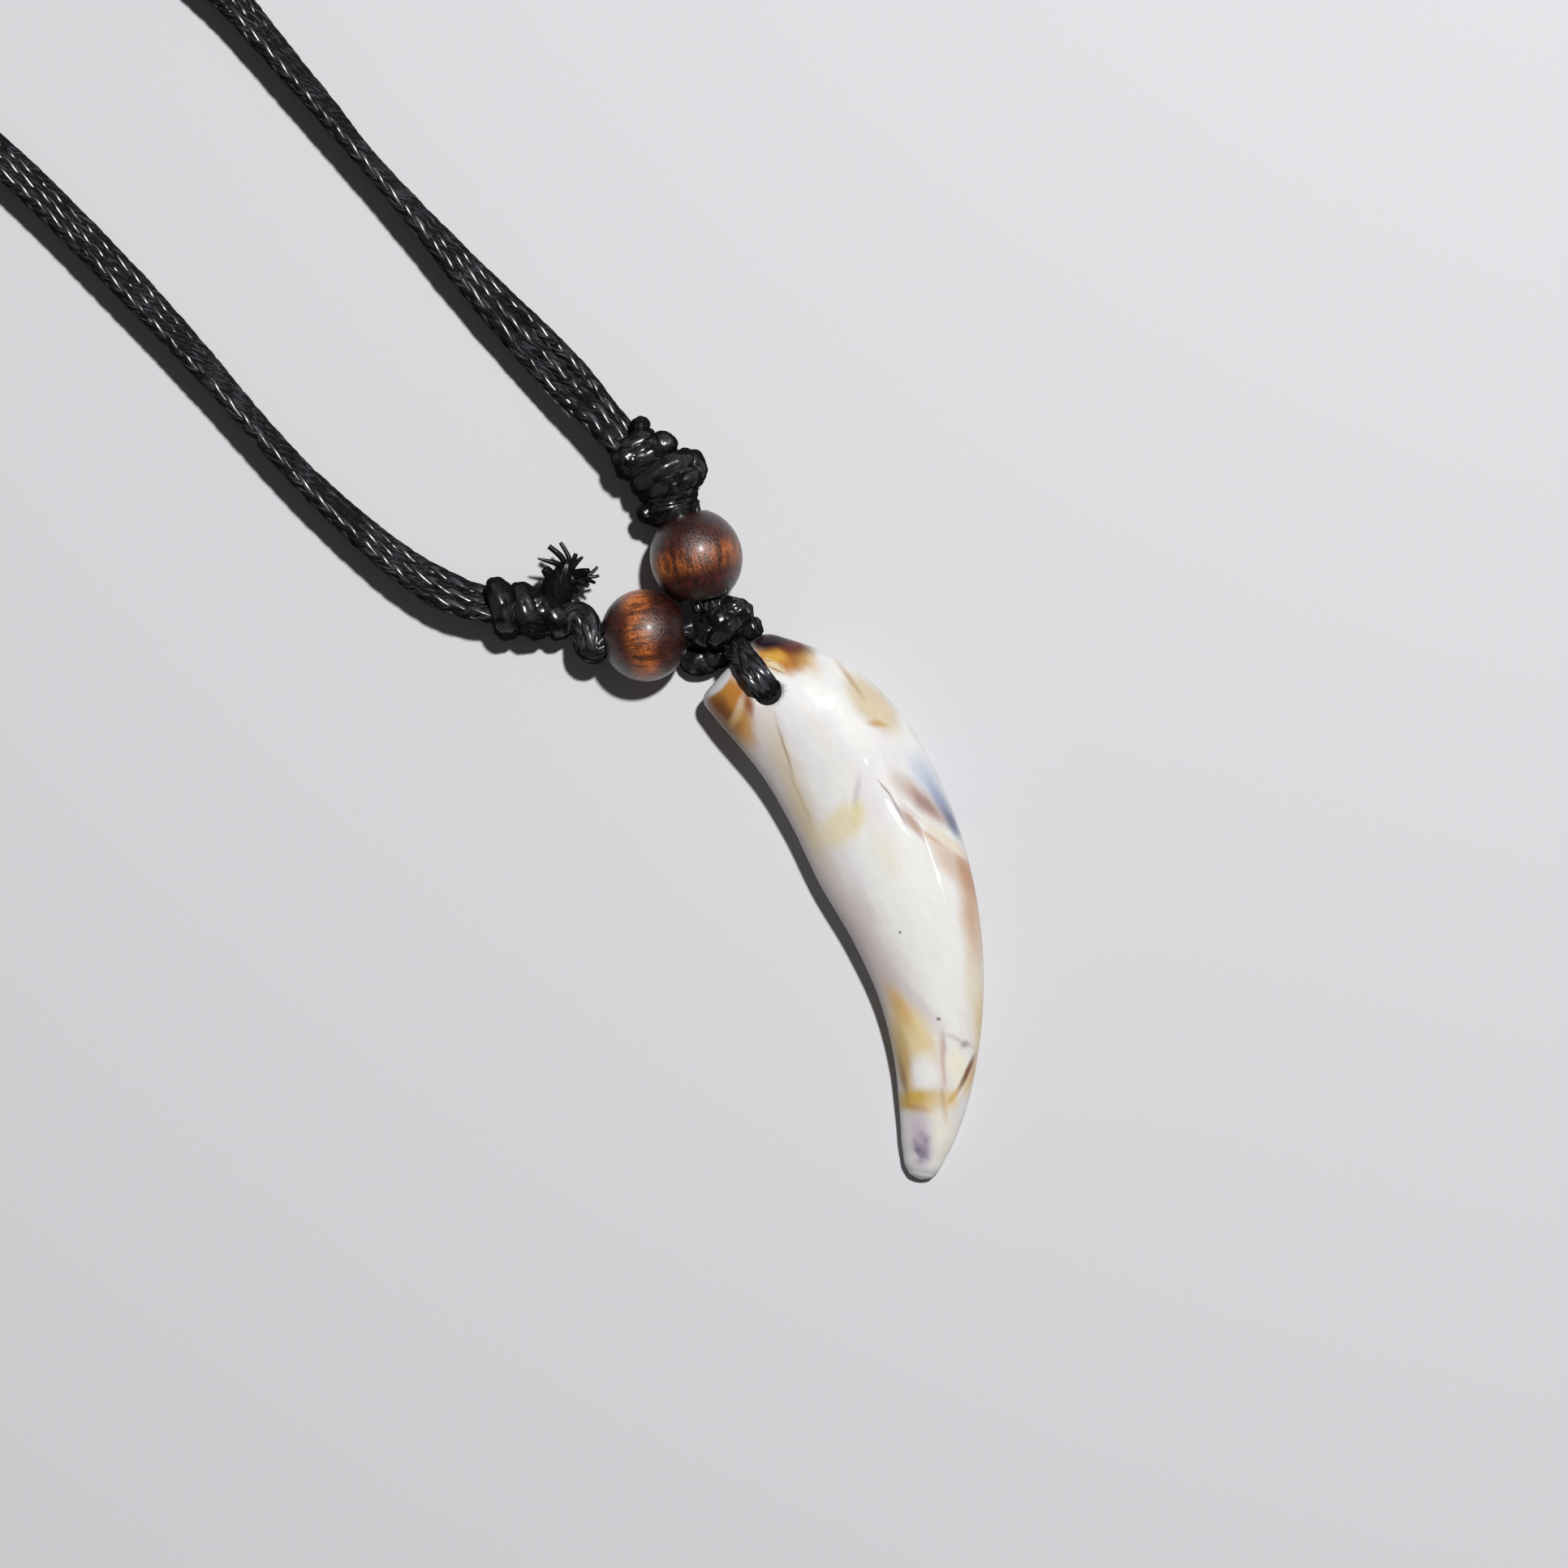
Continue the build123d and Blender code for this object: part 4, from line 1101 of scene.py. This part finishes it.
# Stains of the tooth, and among them painted shade, painted highlights and a painted reflection: middle x
# and y, half length and half width in mm, angle, softness, strength, waver and colour
toothStainsAndPaintedLight = [
    # painted shade: these two darken the left edge with a pinkish grey-brown tone, on the side that faces
    # away from the lamp
    ("paintedShadeLeft", 6.3, -4.5, 22.0, 1.9, -64, 0.95, 0.55, 1.0, (0.60, 0.50, 0.46)),
    ("paintedShadeLowLeft", 12.8, -14.5, 9.0, 1.5, -63, 0.9, 0.45, 1.0, (0.55, 0.43, 0.43)),
    ("rightWarm", 20.9, -14.5, 8.0, 0.9, -87, 0.95, 0.60, 0.5, (0.72, 0.58, 0.38)),
    ("rootLavender", 2.4, 6.0, 3.0, 1.3, -66, 0.8, 0.60, 1.0, (0.66, 0.60, 0.61)),
    ("creamShade", 4.1, 3.6, 3.6, 0.9, -68, 0.9, 0.60, 0.6, (0.66, 0.54, 0.38)),
    ("creamLow", 6.1, -1.4, 3.6, 0.75, -66, 0.9, 0.65, 0.5, (0.62, 0.49, 0.29)),
    ("brownLine", 4.3, 4.6, 2.2, 0.11, -73, 0.9, 0.65, 0.2, (0.34, 0.19, 0.06)),
    ("brownLineLow", 5.6, 0.4, 2.6, 0.14, -66, 0.9, 0.35, 0.3, (0.48, 0.32, 0.16)),
    ("creamPatch", 11.8, 8.4, 3.0, 1.35, -48, 0.4, 0.85, 0.6, (0.62, 0.51, 0.34)),
    ("creamCore", 11.9, 8.0, 1.9, 0.60, -48, 0.8, 0.60, 0.4, (0.70, 0.60, 0.40)),
    ("creamEdge", 9.9, 10.6, 1.7, 0.17, -54, 0.9, 0.60, 0.25, (0.42, 0.24, 0.07)),
    ("creamSpot", 12.2, 6.7, 0.8, 0.26, -8, 0.8, 0.75, 0.3, (0.50, 0.29, 0.07)),
    ("vPatch", 9.2, -1.9, 2.4, 1.35, 38, 0.5, 0.85, 0.8, (0.75, 0.655, 0.43)),
    ("vYellow", 10.5, -1.1, 1.3, 0.36, 86, 0.8, 0.70, 0.2, (0.72, 0.63, 0.34)),
    ("vPink", 10.5, 1.1, 1.2, 0.26, 80, 0.9, 0.60, 0.2, (0.50, 0.38, 0.42)),
    ("vFaint", 13.0, -4.2, 2.2, 1.0, -75, 0.9, 0.45, 0.8, (0.74, 0.69, 0.54)),
    ("middleLavender", 12.0, 0.4, 2.6, 1.1, -68, 0.9, 0.45, 0.8, (0.68, 0.63, 0.68)),
    ("bluePale", 16.4, 2.3, 1.9, 0.80, -55, 0.8, 0.65, 0.4, (0.44, 0.50, 0.66)),
    ("blueEdge", 18.1, -0.6, 2.5, 0.52, -62, 0.6, 0.85, 0.2, (0.25, 0.30, 0.44)),
    ("blueDeep", 18.7, -1.7, 1.3, 0.30, -62, 0.8, 0.80, 0.15, (0.11, 0.14, 0.25)),
    ("pinkUpper", 16.15, 0.15, 2.6, 0.80, -42, 0.7, 0.85, 0.6, (0.44, 0.295, 0.25)),
    ("pinkCore", 16.4, -0.1, 1.3, 0.40, -47, 0.8, 0.75, 0.5, (0.32, 0.20, 0.175)),
    ("pinkTop", 14.1, 1.6, 1.2, 0.60, -60, 0.9, 0.45, 0.5, (0.60, 0.50, 0.40)),
    ("pinkLower", 15.3, -1.8, 1.6, 0.36, -52, 0.7, 0.85, 0.3, (0.44, 0.27, 0.20)),
    ("orangeLine", 16.9, -3.0, 1.0, 0.18, -38, 0.9, 0.70, 0.2, (0.56, 0.34, 0.17)),
    ("tanBand", 18.6, -5.1, 2.5, 1.00, -56, 0.7, 0.80, 0.4, (0.62, 0.46, 0.35)),
    ("rustEdge", 20.1, -6.5, 2.0, 0.56, -70, 0.7, 0.85, 0.3, (0.47, 0.23, 0.12)),
    ("rustFade", 20.35, -9.6, 3.2, 0.75, -82, 0.9, 0.80, 0.4, (0.56, 0.34, 0.22)),
    ("creamBand", 18.3, -3.35, 2.5, 0.36, -39, 0.4, 0.90, 0.12, (0.76, 0.69, 0.56)),
    ("creamLine", 15.2, -0.8, 1.3, 0.10, -42, 0.6, 0.80, 0.12, (0.66, 0.54, 0.50)),
    ("darkLine", 12.9, 1.2, 0.9, 0.07, -50, 0.6, 0.80, 0.12, (0.22, 0.13, 0.12)),
    ("darkEdge", 14.0, -0.5, 1.5, 0.13, -61, 0.8, 0.65, 0.12, (0.24, 0.17, 0.19)),
    # painted highlights: these five white marks are the lamp's glint streaks and dot on the crown, painted
    # into the colour
    ("paintedGlintOne", 13.58, -0.65, 1.15, 0.25, -58, 0.25, 0.95, 0.25, (1.0, 1.0, 1.0)),
    ("paintedGlintTwo", 14.55, -2.3, 0.75, 0.12, -52, 0.8, 0.60, 0.3, (1.0, 0.99, 0.98)),
    ("paintedGlintThree", 17.1, -5.2, 2.7, 0.085, -72, 0.6, 0.85, 0.12, (1.0, 0.99, 0.98)),
    ("paintedGlintBlob", 17.5, -6.3, 0.6, 0.15, -76, 0.4, 0.90, 0.12, (1.0, 1.0, 1.0)),
    ("paintedGlintHigh", 11.3, 3.5, 0.30, 0.15, -60, 0.6, 0.75, 0.1, (1.0, 0.99, 0.98)),
    ("amberLeft", -0.45, 8.4, 2.9, 1.60, -72, 0.35, 1.00, 0.6, (0.47, 0.215, 0.046)),
    ("amberLow", 0.7, 6.3, 1.7, 0.85, -70, 0.8, 0.85, 0.5, (0.54, 0.29, 0.09)),
    ("amberDark", -1.15, 7.95, 1.8, 0.72, -52, 0.8, 0.90, 0.4, (0.125, 0.040, 0.013)),
    ("amberWarm", 0.2, 9.5, 1.3, 0.55, 60, 0.8, 0.70, 0.4, (0.50, 0.20, 0.030)),
    ("amberPale", 0.55, 8.45, 1.2, 0.34, 61, 0.8, 0.85, 0.2, (0.68, 0.55, 0.42)),
    ("amberTan", -0.05, 7.2, 1.0, 0.34, 62, 0.9, 0.75, 0.2, (0.58, 0.38, 0.16)),
    ("amberDeep", 1.2, 8.5, 0.95, 0.34, -76, 0.8, 0.90, 0.25, (0.27, 0.085, 0.014)),
    ("rootBrown", -1.1, 6.9, 2.2, 0.40, -51, 0.9, 0.80, 0.3, (0.27, 0.15, 0.10)),
    # painted reflection: a pale grey patch at the root's corner
    ("paintedReflectionRoot", -1.55, 10.35, 1.6, 0.66, 42, 0.3, 0.96, 0.2, (0.66, 0.67, 0.70)),
    ("amberTop", 4.0, 12.6, 2.5, 1.40, -6, 0.4, 1.00, 0.6, (0.46, 0.19, 0.030)),
    ("amberBright", 3.5, 12.55, 1.1, 0.42, -4, 0.8, 0.80, 0.4, (0.66, 0.38, 0.070)),
    ("amberBrown", 5.2, 12.7, 1.0, 0.62, -50, 0.8, 0.90, 0.4, (0.27, 0.085, 0.014)),
    ("amberSide", 6.3, 12.2, 1.2, 0.75, -55, 0.9, 0.60, 0.4, (0.62, 0.42, 0.16)),
    ("foldPale", 3.4, 11.8, 0.95, 0.36, -30, 0.5, 0.85, 0.3, (0.75, 0.63, 0.38)),
    ("foldDark", 3.55, 11.42, 0.66, 0.055, -24, 0.5, 0.85, 0.12, (0.17, 0.08, 0.03)),
    ("foldWave", 2.9, 12.2, 0.36, 0.05, -8, 0.5, 0.75, 0.12, (0.30, 0.12, 0.03)),
    ("foldFine", 3.95, 11.7, 0.36, 0.045, -48, 0.5, 0.70, 0.12, (0.34, 0.16, 0.05)),
    ("rimRed", 4.8, 13.62, 1.9, 0.74, -16, 0.6, 0.97, 0.4, (0.11, 0.028, 0.020)),
    ("rimTop", 2.8, 13.95, 1.8, 0.80, 6, 0.5, 1.0, 0.4, (0.014, 0.004, 0.011)),
    ("tipLavender", 15.6, -17.2, 3.2, 0.50, -47, 0.9, 0.50, 0.4, (0.58, 0.50, 0.53)),
    ("goldArea", 15.3, -19.9, 3.2, 1.55, -60, 0.5, 0.95, 0.5, (0.80, 0.64, 0.36)),
    ("goldHeart", 14.2, -17.7, 2.0, 0.66, -62, 0.8, 0.80, 0.4, (0.68, 0.42, 0.15)),
    ("goldSide", 14.6, -22.6, 3.4, 0.62, -79, 0.7, 0.90, 0.3, (0.60, 0.40, 0.15)),
    ("whiteBlob", 16.4, -23.4, 1.65, 1.15, -84, 0.5, 0.97, 0.3, (0.84, 0.83, 0.79)),
    ("creamRight", 19.4, -23.2, 1.9, 0.85, -72, 0.5, 0.90, 0.3, (0.84, 0.79, 0.65)),
    ("goldBand", 16.1, -25.85, 2.05, 1.08, 4, 0.45, 1.0, 0.3, (0.62, 0.40, 0.085)),
    ("goldBandLow", 15.9, -26.5, 1.2, 0.30, -4, 0.8, 0.70, 0.3, (0.48, 0.27, 0.045)),
    ("goldFill", 18.6, -25.7, 0.85, 0.60, -60, 0.7, 0.75, 0.3, (0.74, 0.53, 0.22)),
    ("brownSide", 14.55, -23.8, 1.6, 0.22, -79, 0.9, 0.70, 0.2, (0.27, 0.16, 0.075)),
    ("pinkLine", 18.0, -22.5, 2.3, 0.20, -88, 0.9, 0.75, 0.2, (0.60, 0.40, 0.33)),
    ("pinkTopLine", 17.9, -20.9, 0.8, 0.26, -86, 0.9, 0.45, 0.2, (0.52, 0.36, 0.34)),
    ("goldStem", 18.1, -26.5, 1.5, 0.26, -81, 0.6, 0.95, 0.15, (0.50, 0.28, 0.07)),
    ("goldArm", 18.9, -25.4, 1.0, 0.22, 52, 0.6, 0.80, 0.2, (0.62, 0.40, 0.12)),
    ("goldRim", 20.6, -23.5, 1.8, 0.34, 68, 0.9, 0.80, 0.15, (0.66, 0.40, 0.14)),
    ("brownCrack", 20.1, -23.35, 1.6, 0.22, 66, 0.6, 0.95, 0.15, (0.19, 0.080, 0.028)),
    ("crackTop", 19.3, -20.6, 1.5, 0.20, -22, 1.0, 0.45, 0.35, (0.46, 0.36, 0.34)),
    ("goldEdge", 21.1, -19.2, 2.2, 0.35, -92, 0.9, 0.70, 0.3, (0.70, 0.55, 0.28)),
    ("tipPale", 18.3, -28.9, 3.2, 1.2, -72, 0.8, 0.85, 0.4, (0.84, 0.80, 0.69)),
    ("tipPurple", 16.0, -28.9, 2.2, 0.95, -84, 0.7, 0.80, 0.4, (0.55, 0.46, 0.53)),
    ("tipCloud", 16.05, -30.1, 1.3, 0.60, -80, 0.9, 0.60, 0.8, (0.40, 0.33, 0.43)),
    ("speckHigh", 14.2, -11.2, 0.12, 0.10, 0, 0.5, 0.9, 0.05, (0.12, 0.10, 0.09)),
    ("speckMiddle", 17.55, -18.7, 0.20, 0.13, -20, 0.6, 0.85, 0.1, (0.14, 0.10, 0.11)),
    ("speckLow", 19.85, -21.0, 0.38, 0.26, 35, 1.0, 0.65, 0.3, (0.24, 0.20, 0.20)),
]
# Dark flecks near the tip
tipFlecks = {
    "narrow": 0.75,  # width as a share of the length
    "angle": -50,
    "turn": 17,  # degrees from one fleck to the next
    "softness": 1.0,
    "waver": 0.8,
    "colour": (0.17, 0.13, 0.20),
    # x, y, size and strength
    "spots": [
        (15.60, -30.15, 0.42, 0.70), (15.45, -29.50, 0.34, 0.40), (16.10, -29.00, 0.34, 0.30),
        (16.60, -29.45, 0.38, 0.55), (16.25, -30.20, 0.36, 0.55), (15.85, -31.10, 0.42, 0.40),
        (15.95, -30.60, 0.34, 0.50), (15.95, -29.80, 0.26, 0.45), (15.80, -30.10, 0.22, 0.55),
        (16.45, -30.75, 0.26, 0.30), (15.50, -30.35, 0.20, 0.55),
    ],
}
toothLook = {
    "ivory": (0.79, 0.78, 0.755, 1),
    "lavender": (0.73, 0.71, 0.72, 1),
    "warm": (0.79, 0.755, 0.69, 1),
    "grainAngle": 60.0,
    "grain": (0.35, 1.0, 1.0),  # the clouds and streaks are drawn out along the tooth
    "waver": 2.2,  # mm that the warping noise moves a stain's edge
    # each noise: its scale, detail and sometimes roughness
    "warp": (0.6, 4.0, 0.58),
    "clouds": (0.22, 3.0),
    "haze": (0.5, 4.0),
    "streaks": (1.6, 3.0),
    "scratches": (1.3, 5.0),
    # what is read, from and to, and what it gives
    "lavenderShare": (0.45, 0.68, 0.0, 0.7),
    "warmShare": (0.50, 0.72, 0.0, 0.45),
    "streakShade": (0.3, 0.7, 0.86, 1.0),
    "streakStrength": 0.35,
    "roughness": (0.3, 0.7, 0.34, 0.48),
    "bump": 0.10,
    "bumpDepth": 0.00003,
    "specular": 0.25,
    "coat": 0.24,
    "coatRoughness": 0.1,
    "subsurface": 0.12,
    "subsurfaceRadius": (0.0012, 0.0009, 0.0007),
}


def fleckStains(flecks):
    # the flecks as rows like those of the table above
    rows = []
    for index, (x, y, size, strength) in enumerate(flecks["spots"]):
        angle = flecks["angle"] - flecks["turn"] * index
        shape = (size, size * flecks["narrow"], angle, flecks["softness"], strength, flecks["waver"])
        rows.append((f"tipFleck{index}", x, y, *shape, flecks["colour"]))
    return rows


def makeStainAndLightGroup():
    # a soft-edged mark at a place on the piece, long one way and turned, used for stained areas and for
    # painted shade, highlights and reflection; each node is made after those that feed it, because Cycles
    # otherwise runs out of room for this many marks and draws the tooth black
    numbers = {"Waver": 1.0, "Angle": 0.0, "Length": 1.0, "Width": 1.0, "Softness": 0.5, "Strength": 1.0}
    places = dict.fromkeys(("Position", "Shift", "Centre"), (0, 0, 0))
    group, given, made = newGroup("softStainAndPaintedLight", {**places, **numbers}, ("Mask",))
    wavered = place(group, "ShaderNodeVectorMath", operation="SCALE")
    feed(wavered, Vector=given["Shift"], Scale=given["Waver"])
    moved = vectorMaths(group, "ADD", given["Position"], wavered.outputs[0])
    offset = vectorMaths(group, "SUBTRACT", moved, given["Centre"])
    turn = place(group, "ShaderNodeVectorRotate", rotation_type="Z_AXIS", invert=True)
    feed(turn, Vector=offset, Angle=given["Angle"])
    # a mark reaches through the whole tooth, so its half size in depth is as good as endless
    size = place(group, "ShaderNodeCombineXYZ", X=given["Length"], Y=given["Width"], Z=1000000.0)
    share = vectorMaths(group, "DIVIDE", turn.outputs[0], size.outputs[0])
    reach = place(group, "ShaderNodeVectorMath", operation="LENGTH", Vector=share).outputs["Value"]
    low = maths(group, "SUBTRACT", 1.0, given["Softness"])
    high = maths(group, "ADD", 1.0, given["Softness"])
    feed(made, Mask=maths(group, "MULTIPLY", ranged(group, reach, low, high, 1.0, 0.0), given["Strength"]))
    return group


def makeToothMaterial(stainsAndPaintedLight, look):
    material, tree, shader = newMaterial("polishedTooth")
    stainAndLightGroup = makeStainAndLightGroup()
    local = localPlace(tree)
    turning = place(tree, "ShaderNodeMapping", Vector=local, Rotation=(0, 0, radians(look["grainAngle"])))
    drawn = place(tree, "ShaderNodeMapping", Vector=turning.outputs[0], Scale=look["grain"]).outputs[0]
    scale, detail, rough = look["warp"]
    warp = place(tree, "ShaderNodeTexNoise", Vector=drawn, Scale=scale, Detail=detail, Roughness=rough)
    shift = vectorMaths(tree, "SUBTRACT", warp.outputs["Color"], (0.5, 0.5, 0.5))
    lavender = ranged(tree, noisy(tree, drawn, *look["clouds"]), *look["lavenderShare"])
    warm = ranged(tree, noisy(tree, drawn, *look["haze"]), *look["warmShare"])
    tint = mixed(tree, lavender, look["ivory"], look["lavender"])
    tint = mixed(tree, warm, tint, look["warm"])
    # stains, and painted shade, painted highlights and a painted reflection, each mixed over the tooth's
    # tint
    for name, x, y, length, width, angle, softness, strength, waver, colour in stainsAndPaintedLight:
        stainAndLightNode = place(tree, "ShaderNodeGroup", node_tree=stainAndLightGroup, label=name)
        feed(stainAndLightNode, Position=local, Shift=shift, Waver=waver * look["waver"])
        feed(stainAndLightNode, Centre=(x, y, 0), Angle=radians(angle))
        feed(stainAndLightNode, Length=length, Width=width, Softness=softness, Strength=strength)
        tint = mixed(tree, stainAndLightNode.outputs["Mask"], tint, (*colour, 1))
    shade = ranged(tree, noisy(tree, drawn, *look["streaks"]), *look["streakShade"])
    scratches = noisy(tree, local, *look["scratches"])
    feed(
        shader,
        Base_Color=mixed(tree, look["streakStrength"], tint, shade, "MULTIPLY"),
        Roughness=ranged(tree, scratches, *look["roughness"]),
        Normal=bumped(tree, scratches, look["bump"], look["bumpDepth"]),
        Specular_IOR_Level=look["specular"],
        Coat_Weight=look["coat"],
        Coat_Roughness=look["coatRoughness"],
        Subsurface_Weight=look["subsurface"],
        Subsurface_Radius=look["subsurfaceRadius"],
    )
    return material


def addTooth(tooth):
    part = newPart()
    addTube(part, toothRings(tooth) * mm)
    material = makeToothMaterial(toothStainsAndPaintedLight + fleckStains(tipFlecks), toothLook)
    piece = makeObject("polished_tooth", part, material)
    drillTooth(piece, tooth)
    dressNode(piece, "tooth_pendant")


addTooth(tooth)
print("tooth done")


# The clasp keeps its shape and gets a brushed metal finish

claspFinish = {
    "middle": (-141.66, -2.75, 1.5),
    "axis": 95.0,
    "grey": (0.20, 0.20, 0.21, 1),
    "worn": (0.42, 0.42, 0.43, 1),
    "stretch": 30.0,
    "scale": 9.0,
    "lines": (0.3, 0.7),
    "roughness": (0.3, 0.7, 0.28, 0.45),
    "bump": 0.3,
    "bumpDepth": 0.00003,
}


def finishClasp(finish):
    material, tree, shader = newMaterial("brushedClasp")
    local = localPlace(tree, finish["middle"], finish["axis"])
    node = place(tree, "ShaderNodeGroup", node_tree=grainGroup, Position=local)
    feed(node, Stretch=finish["stretch"], Scale=finish["scale"])
    grain = node.outputs
    lines = ranged(tree, grain["Strokes"], *finish["lines"])
    feed(
        shader,
        Base_Color=mixed(tree, lines, finish["grey"], finish["worn"]),
        Roughness=ranged(tree, grain["Clouds"], *finish["roughness"]),
        Metallic=1.0,
        Normal=bumped(tree, grain["Strokes"], finish["bump"], finish["bumpDepth"]),
    )
    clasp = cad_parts["back_clasp"]
    if not clasp.material_slots:
        clasp.data.materials.append(material)
    for slot in clasp.material_slots:
        slot.material = material


finishClasp(claspFinish)
print("clasp done")


# Floor and light

floorLook = {"size": 3.0, "drop": 0.00002, "colour": (0.62, 0.62, 0.64, 1), "roughness": 0.6}
light = {
    "azimuth": 58.0,
    "height": 67.0,
    "distance": 0.9,
    "target": (5.0, 0.0, 0.0),
    "size": 0.058,
    "power": 8.6,
    "sky": 0.07,
    "skyColour": (0.93, 0.95, 1.0, 1),
}


def addFloor(look):
    half = look["size"] / 2
    mesh = bpy.data.meshes.new("floor")
    corners = [(-half, -half, 0), (half, -half, 0), (half, half, 0), (-half, half, 0)]
    mesh.from_pydata(corners, [], [(0, 1, 2, 3)])
    floor = bpy.data.objects.new("floor", mesh)
    floor.location.z = -look["drop"]
    bpy.context.scene.collection.objects.link(floor)
    material, tree, shader = newMaterial("paleFloor")
    feed(shader, Base_Color=look["colour"], Roughness=look["roughness"])
    mesh.materials.append(material)


def addLight(look):
    data = bpy.data.lights.new("window", "AREA")
    data.shape = "DISK"
    data.size = look["size"]
    data.energy = look["power"]
    lamp = bpy.data.objects.new("window", data)
    height = radians(look["height"])
    direction = turned(look["azimuth"]) * cos(height) + upward * sin(height)
    lamp.location = np.array(look["target"]) * mm + direction * look["distance"]
    lamp.rotation_euler = Vector(direction).to_track_quat("Z", "Y").to_euler()
    bpy.context.scene.collection.objects.link(lamp)
    world = bpy.data.worlds.new("studio")
    world.use_nodes = True
    feed(world.node_tree.nodes["Background"], Color=look["skyColour"], Strength=look["sky"])
    bpy.context.scene.world = world
    bpy.context.scene.view_settings.view_transform = "Standard"


addFloor(floorLook)
addLight(light)
print("floor and light done")
